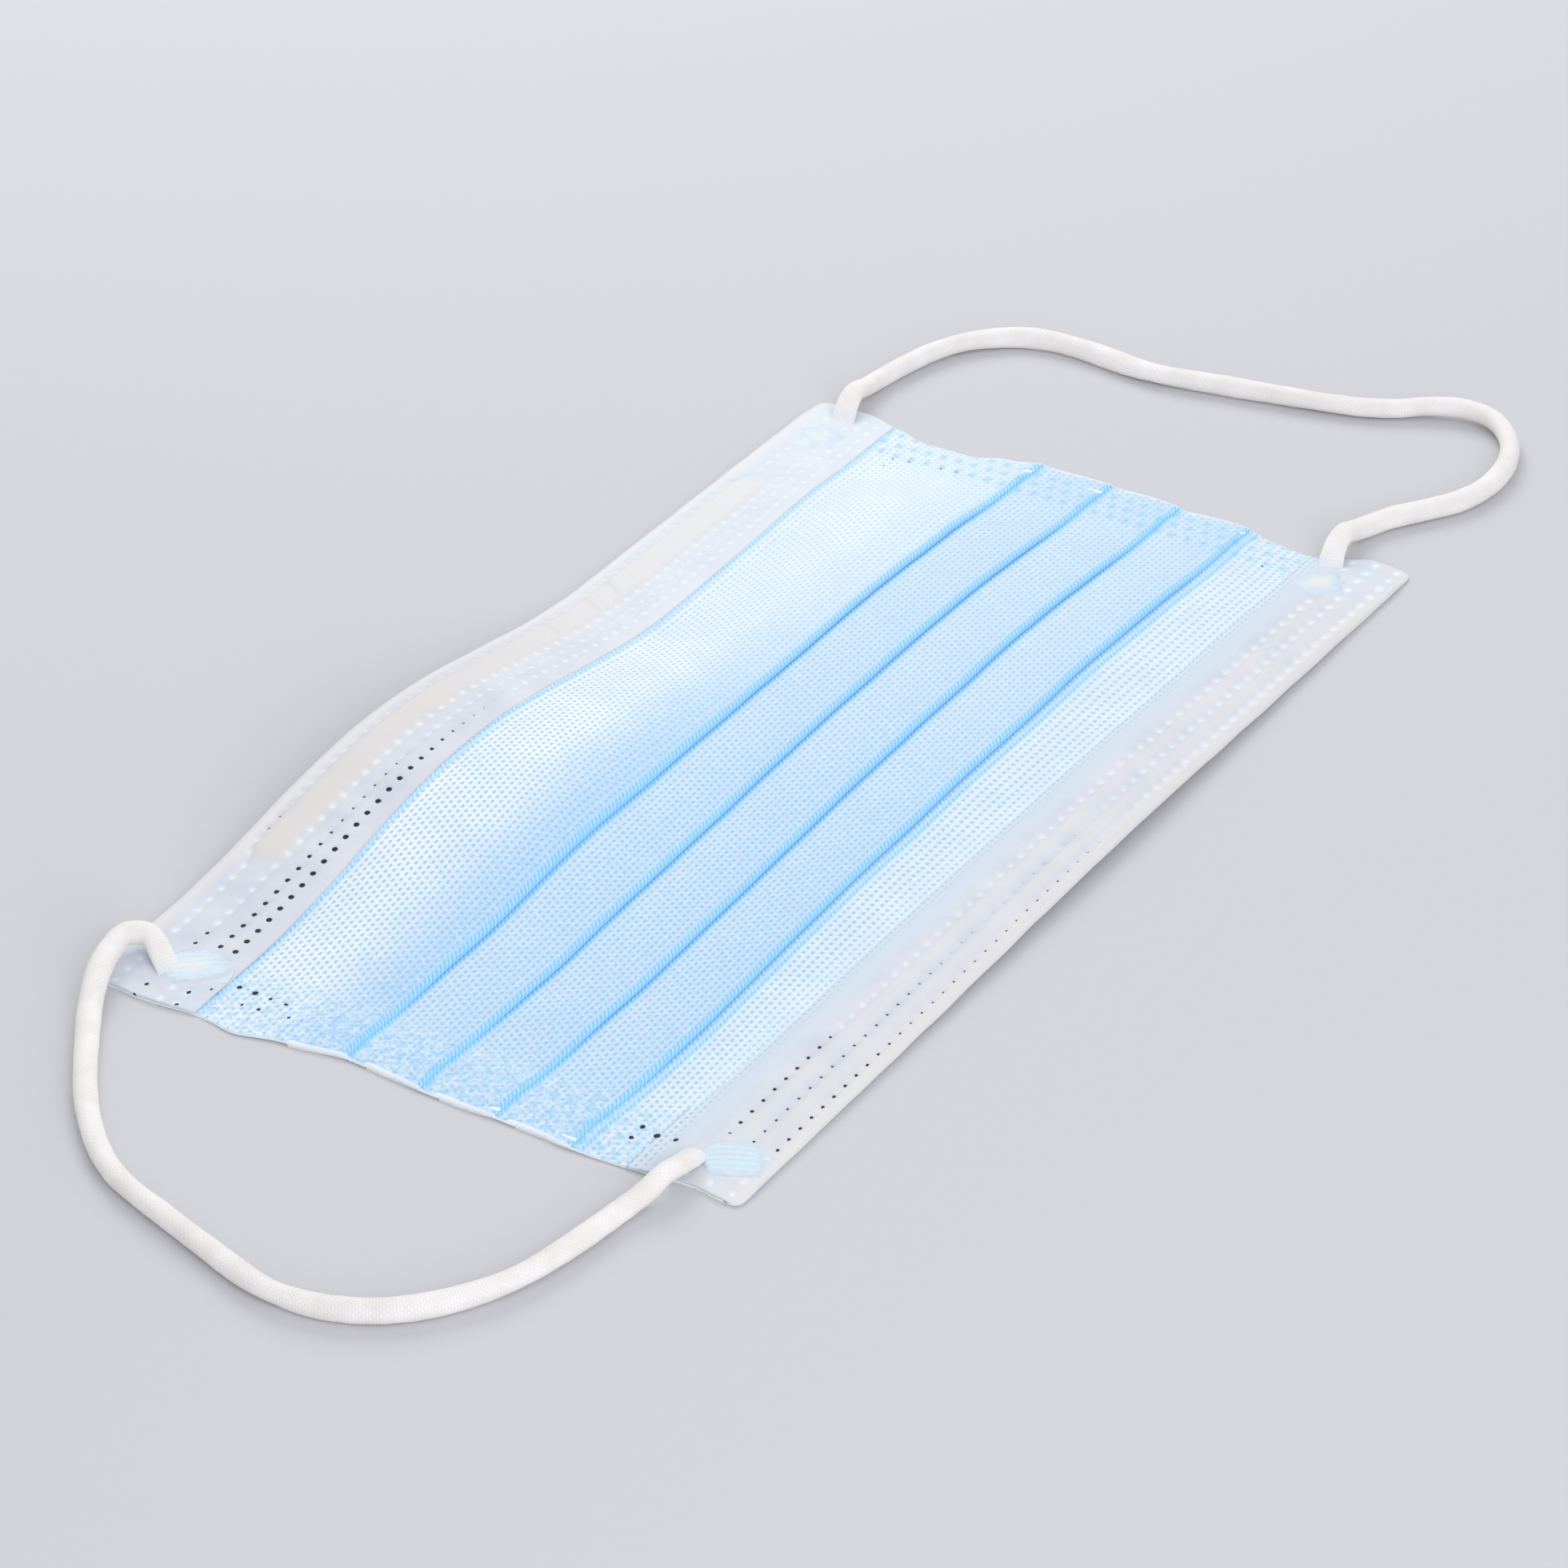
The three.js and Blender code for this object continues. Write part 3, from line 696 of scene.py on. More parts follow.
def spunbond_blue(settings):
    """Dyed spunbond polypropylene, point-bonded: matt and soft, with a lattice of small pressed
    dimples that look greyer than the fibres. Its colour also carries painted light and shade: a
    saturated blue on the folds for the creases' shade and glow, partly the stronger blue of doubled
    cloth; panels darker towards each fold and on the near half; and a paler far half."""
    material, tree, shader = new_material("blue spunbond nonwoven", **{
        "Roughness": 0.82, "Specular IOR Level": 0.25, "Sheen Weight": 0.12, "Sheen Roughness": 0.5,
    })
    sheet = flat_sheet(tree)
    dimples = node(tree, "ShaderNodeTexBrick", {
        "Vector": sheet, "Scale": 1.0, "Mortar Size": DIMPLE_GAP, "Mortar Smooth": 0.3,
        "Brick Width": DIMPLE_X / MM, "Row Height": DIMPLE_Y / MM,
    }, **BRICKS).outputs["Fac"]
    cloud = node(tree, "ShaderNodeTexNoise", {
        "Vector": grain(tree, CLOUD), "Scale": 1.0, "Detail": 3.0,
    }).outputs["Fac"]
    fibre = node(tree, "ShaderNodeTexNoise", {
        "Vector": grain(tree, FIBRE_TUFT), "Scale": 1.0, "Detail": 2.0, "Distortion": 1.5,
    }).outputs["Fac"]
    tuft = node(tree, "ShaderNodeTexNoise", {
        "Vector": grain(tree, COARSE_TUFT, 3.0), "Scale": 1.0, "Detail": 2.0, "Distortion": 0.8,
    }).outputs["Fac"]
    strands = node(tree, "ShaderNodeTexWave", {
        "Vector": sheet, "Scale": WAVE_REPEAT / STRAND_GAP,
        "Distortion": 1.2, "Detail": 2.0, "Detail Scale": 1.5,
    }, wave_type="BANDS", bands_direction="DIAGONAL").outputs["Fac"]
    colour = layer(tree, settings.blue_shade, settings.blue, cloud, (0.25, 0.65))
    # Painted shade: the blue darkens towards each fold and on the near half.
    colour = layer(tree, colour, settings.blue_fold_shade, "depth")
    colour = layer(tree, colour, (1, 1, 1), fibre, (0.45, 0.72), (0.0, 0.4))
    pit = layer(tree, colour, settings.dimple, "depth", (0.0, 1.0), (0.64, 0.50))
    colour = layer(tree, pit, colour, dimples)
    # Painted light on the far half, and the paler blue where the dimples fade out under the chin
    # hem.
    colour = layer(tree, colour, settings.blue, "far_light_and_chin_fade")
    matted = layer(tree, settings.pressed, settings.blue, tuft, (0.40, 0.60))
    colour = layer(tree, colour, matted, "fused", (0.0, 1.0), (0.0, 0.38))
    # Painted shade and glow of the folds and of the slits under them: a saturated blue with lighter
    # strands, partly the stronger blue of doubled cloth.
    braid = layer(tree, settings.fold_blue, settings.strand, strands, (0.45, 0.95))
    colour = layer(tree, colour, braid, "fold")
    colour = layer(tree, colour, settings.fold_blue, "weld", (0.0, 0.5))
    # Painted shade: near-black in the pinholes' dents, for the dark space seen through them.
    colour = layer(tree, HOLE_SHADE, colour, "pinhole", HOLE_RIM)
    height = node(tree, "ShaderNodeMath", {0: dimples, 1: fibre}, operation="ADD").outputs[0]
    finish_surface(tree, shader, colour, height, 0.35, 0.06)
    return material


def spunbond_white(settings):
    """Undyed spunbond polypropylene: smooth, thin and a little cool where cloth lies under it,
    with glassy spots and pinholes where it is welded. The pinholes are painted near-black for the
    shade seen through them; the glassy colour is also painted light on the far half of the nose
    hem and on the inner plies' cut edge, and the rim colour a painted highlight on the chin
    hem's ridges."""
    material, tree, shader = new_material("white spunbond nonwoven", **{
        "Roughness": 0.72, "Specular IOR Level": 0.3, "Sheen Weight": 0.1, "Sheen Roughness": 0.5,
    })
    cloud = node(tree, "ShaderNodeTexNoise", {
        "Vector": grain(tree, WHITE_CLOUD), "Scale": 1.0, "Detail": 4.0,
    }).outputs["Fac"]
    fibre = node(tree, "ShaderNodeTexNoise", {
        "Vector": grain(tree, WHITE_TUFT, 7.0), "Scale": 1.0, "Detail": 2.0, "Distortion": 2.0,
    }).outputs["Fac"]
    under = node(tree, "ShaderNodeTexBrick", {
        "Vector": flat_sheet(tree), "Scale": 1.0, "Mortar Size": VEILED_GAP, "Mortar Smooth": 0.35,
        "Brick Width": DIMPLE_X / MM, "Row Height": DIMPLE_Y / MM,
    }, **BRICKS).outputs["Fac"]
    colour = layer(tree, settings.white_shade, settings.white, cloud, (0.3, 0.65))
    colour = layer(tree, colour, settings.rim, "rim")
    colour = layer(tree, colour, settings.wire_tint, "wire")
    colour = layer(tree, colour, settings.band, "band")
    seen = layer(tree, settings.dimple, settings.blue_shade, under)
    colour = layer(tree, colour, seen, "veil", (0.0, 1.0), (0.0, 0.6))
    colour = layer(tree, colour, settings.fused, "weld", (0.0, 0.5))
    # Painted shade: near-black in the pinholes' dents, for the dark space seen through them.
    colour = layer(tree, HOLE_SHADE, colour, "pinhole", HOLE_RIM)
    finish_surface(tree, shader, colour, fibre, 0.25, 0.05)
    return material


def meltblown_cream(settings):
    """Meltblown polypropylene of the filter, seen at its cut edge: soft, matt, a little warm."""
    material, tree, shader = new_material("cream meltblown filter", Roughness=0.9)
    tuft = node(tree, "ShaderNodeTexNoise", {
        "Vector": grain(tree, FILTER_TUFT), "Scale": 1.0, "Detail": 3.0,
    }).outputs["Fac"]
    colour = layer(tree, settings.filter_shade, settings.filter, tuft, (0.35, 0.6))
    finish_surface(tree, shader, colour, tuft, 0.4, 0.08)
    return material


def coated_strip(settings):
    """Iron wire in extruded polyethylene: smooth, satin, off-white, with faint draw marks."""
    material, tree, shader = new_material("polyethylene coated wire", Roughness=0.45)
    draw = node(tree, "ShaderNodeTexNoise", {
        "Vector": grain(tree, DRAW_MARK), "Scale": 1.0, "Detail": 2.0,
    }).outputs["Fac"]
    finish_surface(tree, shader, layer(tree, settings.coat_shade, settings.coat, draw))
    return material


def knitted_elastic(settings):
    """Round knitted nylon and spandex elastic: matt, warm white, with very fine wales along it
    and a soft fuzz that lightens its outline."""
    material, tree, shader = new_material("knitted elastic", **{
        "Roughness": 0.88, "Specular IOR Level": 0.2, "Sheen Weight": 0.25, "Sheen Roughness": 0.6,
    })
    stitches = node(tree, "ShaderNodeTexBrick", {
        "Vector": flat_sheet(tree), "Scale": 1.0,
        "Mortar Size": STITCH_GROOVE, "Mortar Smooth": 1.0,
        "Brick Width": STITCH_LONG, "Row Height": STITCH_WIDE,
    }, **BRICKS).outputs["Fac"]
    cloud = node(tree, "ShaderNodeTexNoise", {
        "Vector": grain(tree, CORD_CLOUD), "Scale": 1.0, "Detail": 3.0,
    }).outputs["Fac"]
    fuzz = node(tree, "ShaderNodeTexNoise", {
        "Vector": grain(tree, FUZZ), "Scale": 1.0, "Detail": 2.0,
    }).outputs["Fac"]
    colour = layer(tree, settings.cord_shade, settings.cord, cloud, (0.3, 0.65))
    # Painted shade in the grooves between the stitches.
    colour = layer(tree, colour, settings.stitch, stitches, (0.0, 1.0), (0.0, 0.22))
    colour = layer(tree, colour, settings.cord_melted, "melt")
    height = node(tree, "ShaderNodeMath", {0: fuzz, 1: stitches}, operation="SUBTRACT").outputs[0]
    finish_surface(tree, shader, colour, height, 0.5, 0.05)
    return material


def melted_nylon(settings):
    """Elastic and nonwoven pressed together hot: thin, smooth and glossier, with a cool blue in the
    grooves, a painted glint in cloudy spots and a creamy middle. The rims of the nose patches are
    painted lighter towards the far end."""
    material, tree, shader = new_material(
        "melted elastic", **{"Roughness": 0.5, "Specular IOR Level": 0.45})
    cloud = node(tree, "ShaderNodeTexNoise", {
        "Vector": grain(tree, MELT_CLOUD), "Scale": 1.0, "Detail": 3.0,
    }).outputs["Fac"]
    colour = layer(tree, settings.melted, settings.melted_cream, "cream")
    colour = layer(tree, colour, settings.melted_groove, "groove", (0.0, 1.0), (0.0, 0.8))
    # Painted glint: pale cyan spots laid by cloud noise.
    colour = layer(tree, colour, settings.melted_shimmer, cloud, (0.5, 0.7), (0.0, 0.5))
    # The rim fades into the hem's colour, lighter with painted light on the nose patches towards
    # the far end.
    rim = layer(tree, settings.melted_rim, settings.fused, "pale")
    finish_surface(tree, shader, layer(tree, rim, colour, "glow"))
    return material


def studio_paper(settings):
    """Seamless background paper: pale, matt, with the faintest tooth."""
    material, tree, shader = new_material(
        "matt background paper", **{"Roughness": 0.95, "Specular IOR Level": 0.1})
    tooth = node(tree, "ShaderNodeTexNoise", {
        "Vector": grain(tree, PAPER_TOOTH), "Scale": 1.0, "Detail": 2.0,
    }).outputs["Fac"]
    darker = tuple(0.985 * c for c in settings.floor)
    finish_surface(tree, shader, layer(tree, darker, settings.floor, tooth))
    return material


# ---- settings ------------------------------------------------------------------------------

def colour_property(name, description, text):
    """A colour setting with an sRGB hex default."""
    return FloatVectorProperty(name=name, description=description, subtype="COLOR", size=3,
                               min=0.0, max=1.0, default=linear(text))


class MaskClothSettings(bpy.types.PropertyGroup):
    blue: colour_property("Blue", "Outer ply, lit fibres", "#ecf8ff")
    blue_shade: colour_property("Blue shade", "Outer ply, thinner places", "#dcedf9")
    # Painted shade: the blue that darkens each panel towards its fold and on the near half.
    blue_fold_shade: colour_property("Deep blue", "Outer ply over the layers of a pleat", "#aed6f6")
    # Painted shade and glow of the folds and of the slits under them, partly the stronger blue of
    # doubled cloth; also the real colour of the weld dashes.
    fold_blue: colour_property("Fold", "Outer ply where it is folded or fused", "#80cbfc")
    strand: colour_property("Strand", "Stretched strands along a fold", "#bde6fd")
    pressed: colour_property("Pressed", "Outer ply in the fused short edges", "#9ccaea")
    dimple: colour_property("Dimple", "Bottom of a pressed dimple", "#90b3ce")
    white: colour_property("White", "Hems and inner ply", "#dcdfe7")
    white_shade: colour_property("White shade", "Hems, thinner places", "#cfd4df")
    # Also laid as a painted highlight on the ridges between the chin hem's rows of dots.
    rim: colour_property("Rim", "Turned and loose edges of a hem", "#e4e2e3")
    wire_tint: colour_property("Wire tint", "Hem over the nose wire", "#e0dad6")
    band: colour_property("Band", "Hem where blue shows through it", "#d3dfea")
    # Also painted light: it lightens the nose hem towards its far end, the inner plies' cut edge
    # and the nose patches' rims.
    fused: colour_property("Fused", "Welded spots of a hem", "#eef7fd")
    filter: colour_property("Filter", "Cut edge of the filter ply", "#f3f6fc")
    filter_shade: colour_property("Filter shade", "Thinner places of that edge", "#f6f1ea")
    coat: colour_property("Wire coat", "Coating of the nose wire", "#e8e4df")
    coat_shade: colour_property("Wire coat shade", "Its draw marks", "#dcd8d3")
    melted: colour_property("Melted", "Melted loop end", "#d8e1eb")
    melted_cream: colour_property("Melted cream", "Its thick middle", "#ece7de")
    melted_groove: colour_property("Melted groove", "Between its pressed lines", "#c0deee")
    # Painted glint, laid in cloudy spots over the melted ends.
    melted_shimmer: colour_property("Melted shimmer", "Its glassy spots", "#d0ebf0")
    melted_rim: colour_property("Melted rim", "Where it fades into the hem", "#d0d9e5")


class MaskLoopSettings(bpy.types.PropertyGroup):
    diameter: FloatProperty(name="Diameter", description="Diameter of the round elastic",
                            default=0.0029, min=0.0, subtype="DISTANCE", unit="LENGTH", precision=5)
    cord: colour_property("Elastic", "Ear loops, lit", "#faf7f5")
    cord_shade: colour_property("Elastic shade", "Ear loops, thinner places", "#f0eae6")
    # Painted shade in the grooves between the stitches.
    stitch: colour_property("Stitch", "Grooves between the stitches", "#cfc8c3")
    cord_melted: colour_property("Elastic melted", "Ends of the ear loops", "#e3e9f0")


class MaskStageSettings(bpy.types.PropertyGroup):
    floor: colour_property("Floor", "Background paper", "#d2d3d7")
    key: colour_property("Key colour", "Colour of the soft light behind the nose edge", "#fffdfa")
    key_power: FloatProperty(name="Key light", description="Power of that light",
                             default=2.6, min=0.0, unit="POWER")
    fill: colour_property("Fill colour", "Colour of the soft light beside the camera", "#f8faff")
    fill_power: FloatProperty(name="Fill light", description="Power of that light",
                              default=3.0, min=0.0, unit="POWER")
    sky_colour: colour_property("Sky colour", "Colour of the even light from all round", "#fbfcff")
    sky: FloatProperty(name="Sky", description="Strength of that light",
                       default=0.67, min=0.0)
    lens: FloatProperty(name="Lens", description="Focal length in millimetres",
                        default=150.6, min=1.0)


# ---- operators -----------------------------------------------------------------------------

BLUE_LAYERS = ("fold", "depth", "weld", "pinhole", "far_light_and_chin_fade", "fused")
WHITE_LAYERS = ("rim", "wire", "band", "veil", "weld", "pinhole")


class MASK_OT_plies(bpy.types.Operator):
    """Builds the folded plies: the dimpled blue outer ply and the white plies under it"""
    bl_idname = "mask.plies"
    bl_label = "Folded plies"

    def execute(self, context):
        settings = context.scene.mask_cloth
        blue = self.outer_ply()
        blue.data.materials.append(spunbond_blue(settings))
        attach(blue, "root")
        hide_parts("pleated_body")

        white = self.inner_plies()
        white.data.materials.append(spunbond_white(settings))
        white.data.materials.append(meltblown_cream(settings))
        thicken(white, INNER_THICKNESS, rim_slot=1)
        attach(white, "root")
        return {"FINISHED"}

    def outer_ply(self):
        """The blue ply. Its grid has a vertex in the middle of every dimple."""
        half_x, half_y = DIMPLE_X / 2, DIMPLE_Y / 2
        rows = pleat_rows(half_y, 0.0020, 6)
        inner = int(EVEN_END / half_x)
        middle = [k * half_x for k in range(-inner, inner + 1)]
        end = spread(inner * half_x, WIDTH / 2, half_x / 2)[1:]
        columns = [-x for x in reversed(end)] + middle + end

        def place(x, row):
            shown = row["share"] >= 0
            point = cloth_place(x, row, OUTER_OFFSET, sliver(x, row["y"]))
            loose = 2 * squash(point.x) - 1
            if shown and self.in_dimple(row["v"] / half_y, x / half_x):
                point.z -= DIMPLE_DEPTH * loose
            weld = side_weld(point.x, point.y)
            pinhole = side_pinhole(point.x, point.y)
            if shown:
                dent = DASH_DENT * bell(weld, 0.0005)
                dent += HOLE_DENT * bell(max(0.0, pinhole), 0.0004)
                point.z -= dent * loose
            depth, fold = self.blueness(x, row)
            # Painted shade: a line of the fold's saturated blue along the nose hem's inner edge,
            # where the hem's lip shades the blue ply.
            under_hem = point.y - border_y(NOSE_BORDER, x) + 0.0003
            fold = max(fold, 0.75 * bell(under_hem, 0.00045))
            # Painted light: the blue is paler towards the far end, more on the top panel; near the
            # chin hem it is paler too, where the dimples fade out under the hem's edge.
            far_light_and_chin_fade = smooth(-0.045, 0.070, x) * (0.42 if row["top"] else 0.18)
            chin = point.y - border_y(CHIN_BORDER, x) + 0.0012 * ripple(x, point.y, 0.0022, 4.0)
            far_light_and_chin_fade = max(far_light_and_chin_fade, 0.20 * smooth(0.0036, 0.0002, chin))
            fused = smooth(0.0735, 0.0785, abs(x)) * (1.0 if x < 0 else 0.3)
            dash = (0.28 if x < 0 else 0.35) * bell(weld, 0.00046)
            return point, (x, row["v"]), (fold, depth, dash, pinhole / MM, far_light_and_chin_fade, fused)

        return grid_piece("outer_ply", columns, rows, place, BLUE_LAYERS)

    def in_dimple(self, line, across):
        """Whether a place, in half steps of the lattice, is the middle of a dimple."""
        row, column = round(line), round(across)
        if abs(line - row) >= 0.01 or abs(across - column) >= 0.01:
            return False
        return row % 2 == 1 and (column + (row - 1) // 2) % 2 == 0

    def blueness(self, x, row):
        """How much painted shade darkens the blue towards each fold, and how much of the fold's
        saturated blue there is: painted shade and glow of the crease, partly doubled cloth.
        """
        share = row["share"]
        if share < 0:
            return 0.5, 0.9
        if share > 1:
            return 0.8, 1.0
        if row["top"]:
            deep = 0.95 * smooth(0.32, 0.92, share) * mix(1.0, 0.6, smooth(-0.01, 0.05, x))
            far = 0.14 * smooth(-0.02, 0.05, x)
            return max(deep, far), 0.85 * smooth(0.945, 0.985, share)
        if row["y"] < FOLDS[-1]:
            first = 0.45 * fade(0.09, 0.15, share)
            second = 0.8 * bell(share - 0.115, 0.024)
            return 0.32, max(first, second)
        strand = 0.8 * fade(0.03, 0.11, share)
        return mix(0.60, 0.85, share), max(strand, 0.85 * smooth(0.915, 0.97, share))

    def inner_plies(self):
        """The filter and the white ply as one sheet; its rim is the filter's cut edge."""
        rows = pleat_rows(0.0012, 0.0022, 5)
        columns = spread(-WIDTH / 2, WIDTH / 2, 0.0011)

        def place(x, row):
            point = cloth_place(x, row, INNER_OFFSET)
            # Painted light: the inner plies' cut edge is lightened with the glassy weld colour
            # where it lies in shade.
            edge_painted_light = 0.5 * smooth(0.080, 0.085, abs(x))
            return point, (x, row["v"]), (0.3, 0.0, 0.0, 0.0, edge_painted_light, 1.0)

        return grid_piece("inner_plies", columns, rows, place, WHITE_LAYERS)


class MASK_OT_hems(bpy.types.Operator):
    """Builds the white hems that are folded over the long edges and welded down in rows of dots"""
    bl_idname = "mask.hems"
    bl_label = "Hems"

    def execute(self, context):
        settings = context.scene.mask_cloth
        material = spunbond_white(settings)
        for name, edge, border, node_name in (
            ("nose_edge_hem", 1, NOSE_BORDER, "nose_hem"),
            ("chin_edge_hem", -1, CHIN_BORDER, "chin_hem"),
        ):
            piece = self.hem(name, edge, border)
            piece.data.materials.append(material)
            thicken(piece, HEM_THICKNESS)
            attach(piece, "root")
            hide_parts(node_name)
        return {"FINISHED"}

    def hem(self, name, edge, border):
        """A hem on the +Y edge (1) or the -Y edge (-1). Across the strip, 0 to 1 is the face from
        its inner edge to the turn, 1 to 2 the turn, and 2 to 3 the underside."""
        face = [k / 46 for k in range(46)]
        turn = [1 + k / 6 for k in range(6)]
        under = [2 + k / 8 for k in range(9)]
        columns = spread(-WIDTH / 2, WIDTH / 2, 0.0003)
        is_nose = edge > 0
        low = HEM_THICKNESS / 2

        def place(x, across):
            end = max(0.0, abs(x) - (WIDTH / 2 - CORNER_RADIUS))
            corner = CORNER_RADIUS - math.sqrt(max(0.0, CORNER_RADIUS ** 2 - end ** 2))
            outer = HEIGHT / 2 - corner - 0.00015 + 0.00012 * ripple(x, edge, 0.007)
            turn_y = outer - HEM_TURN
            inner = abs(border_y(border, x))
            from_border = min(across, 1) * (turn_y - inner)
            is_open = openness(x)
            lie = mix(HEM_ENDS, HEM_TOP, is_open)
            top = mix(HEM_LIP, lie, smooth(0.0, HEM_CLIMB, from_border)) - HEM_THICKNESS / 2
            radius = (top - low) / 2
            rim = smooth(-0.0026, -0.0004, from_border - (turn_y - inner))
            wire = band = veil = weld = 0.0
            pinhole = 1.0
            if across < 1:
                y = mix(inner, turn_y, across) * edge
                relief, weld, pinhole, seam = self.welded(x, y, across, is_nose, is_open)
                z = top + relief
                fused = 0.8 * smooth(0.071, 0.079, abs(x))
                band = fused * smooth(-0.3, 0.5, ripple(x, y, 0.0040, 8.0))
                if is_nose:
                    height, wire = self.channel(x, y)
                    z += height
                    # Painted light: the nose hem lightens towards its far end with the glassy weld
                    # colour.
                    weld = max(weld, 0.4 * smooth(-0.035, 0.050, x))
                else:
                    lap = from_border + 0.0004 * ripple(x, y, 0.005)
                    band = max(band, fade(0.0040, 0.0060, lap))
                    # Painted highlight: the rim colour laid on the ridges between the rows of dots.
                    rim = max(rim, 0.5 * (1 - seam) * smooth(0.35, 0.55, across))
                    lap = from_border + 0.0007 * ripple(x, y, 0.003, 4.0)
                    veil = fade(0.0002, 0.0034, lap)
            elif across < 2:
                a = math.pi * (across - 1)
                y = (turn_y + HEM_TURN * math.sin(a)) * edge
                z = low + radius + radius * math.cos(a)
            else:
                y = mix(turn_y, outer - HEM_UNDER, across - 2) * edge
                z = low
            if is_nose:
                rim = max(rim, 0.2 - 0.2 * smooth(0.0010, 0.0020, from_border))
            out = to_edge(x, y)
            height = ground(x, y) + low + (z - low) * squash(out)
            layers = (rim, wire, band, veil, 0.5 * weld, pinhole / MM)
            return Vector((out, y, height)), (x, y), layers

        return grid_piece(name, columns, face + turn + under, place, WHITE_LAYERS, flip=is_nose)

    def welded(self, x, y, across, is_nose, is_open):
        """The face's relief, how glassy it is, the distance to the rim of the nearest pinhole,
        and 1 on the lanes that the weld dots lie in."""
        if is_nose:
            rows, shifts, pitch, phase = nose_rows(x), NOSE_SHIFTS, NOSE_PITCH, NOSE_PHASE
            swell, radius_of = NOSE_SWELL, nose_pinhole
        else:
            rows, shifts, pitch, phase = chin_rows(x), CHIN_SHIFTS, CHIN_PITCH, CHIN_PHASE
            swell, radius_of = CHIN_SWELL, chin_pinhole
        away, which = dot_distance(x, y, rows, shifts, pitch, phase)
        hole = radius_of(x, which)
        side = side_pinhole(x, y)
        seam = max(bell(y - row_y, SEAM_WIDTH) for row_y in rows)
        lift = swell * (1 - seam) * smooth(0.0, 0.25, across)
        lift += HEM_DRAPE * ripple(x, y, 0.0055, 9.0) * smooth(0.0, 0.2, across)
        wrinkle = ripple(x + y, 2.2 * (x - y), 0.0026, 6.0)
        lift += HEM_WRINKLE * wrinkle * smooth(0.072, 0.078, abs(x))
        relief = lift * mix(0.35, 1.0, is_open)
        relief -= DOT_DENT * bell(away, DOT_SIZE) * mix(0.45, 1.0, is_open)
        relief -= HEM_HOLE_DENT * bell(max(0.0, side), 0.0004)
        weld = bell(away, mix(0.00048, 0.00062, smooth(-0.03, 0.06, x)))
        weld *= smooth(0.00014, 0.0, hole)
        return relief, weld, min(away - hole if hole > 0.00006 else 1.0, side), seam

    def channel(self, x, y):
        """How far the hem is raised over the wire, and how much of the wire's tint shows."""
        along = over_wire(x)
        across = abs(y - WIRE_Y)
        raised = fade(WIRE_HALF_WIDTH - 0.0004, CHANNEL_HALF, across)
        crease = sum(bell(x - c - 0.6 * (y - WIRE_Y), 0.00045) for c in CREASES)
        height = (WIRE_THICKNESS - 0.0001) * raised * along - CREASE_DEPTH * crease * raised
        tint = along * fade(0.0013, 0.0038, across + 0.0004 * ripple(x, y, 0.004))
        return height, tint * (0.85 + 0.3 * ripple(x, y, 0.008, 2.0))


class MASK_OT_nose_strip(bpy.types.Operator):
    """Builds the flat coated wire that lies in the nose hem's channel"""
    bl_idname = "mask.nose_strip"
    bl_label = "Nose strip"

    def execute(self, context):
        settings = context.scene.mask_cloth
        columns = spread(WIRE_LOW.x, WIRE_HIGH.x, 0.0012)
        rows = spread(WIRE_HALF_WIDTH, -WIRE_HALF_WIDTH, 0.0006)

        def place(x, across):
            y = WIRE_Y + across
            z = ground(x, y) + WIRE_BED + WIRE_THICKNESS / 4
            return Vector((x, y, z)), (x, across), ()

        piece = grid_piece("nose_strip", columns, rows, place)
        thicken(piece, WIRE_THICKNESS * 0.6)
        piece.data.materials.append(coated_strip(settings))
        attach(piece, "root")
        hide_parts("nose_wire")
        return {"FINISHED"}


def loop_curve(route, per_span=7):
    """A centripetal Catmull-Rom curve through the route's points."""
    points = [Vector(p) for p in route]
    points = [2 * points[0] - points[1], *points, 2 * points[-1] - points[-2]]
    curve = []
    for k in range(1, len(points) - 2):
        p0, p1, p2, p3 = points[k - 1:k + 3]
        d0, d1, d2 = (math.sqrt((b - a).length) for a, b in ((p0, p1), (p1, p2), (p2, p3)))
        m1 = ((p1 - p0) / d0 - (p2 - p0) / (d0 + d1) + (p2 - p1) / d1) * d1
        m2 = ((p2 - p1) / d1 - (p3 - p1) / (d1 + d2) + (p3 - p2) / d2) * d1
        for j in range(per_span):
            t = j / per_span
            curve.append(p1 * (2 * t ** 3 - 3 * t ** 2 + 1) + m1 * (t ** 3 - 2 * t ** 2 + t)
                         + p2 * (3 * t ** 2 - 2 * t ** 3) + m2 * (t ** 3 - t ** 2))
    curve.append(points[-2])
    return curve


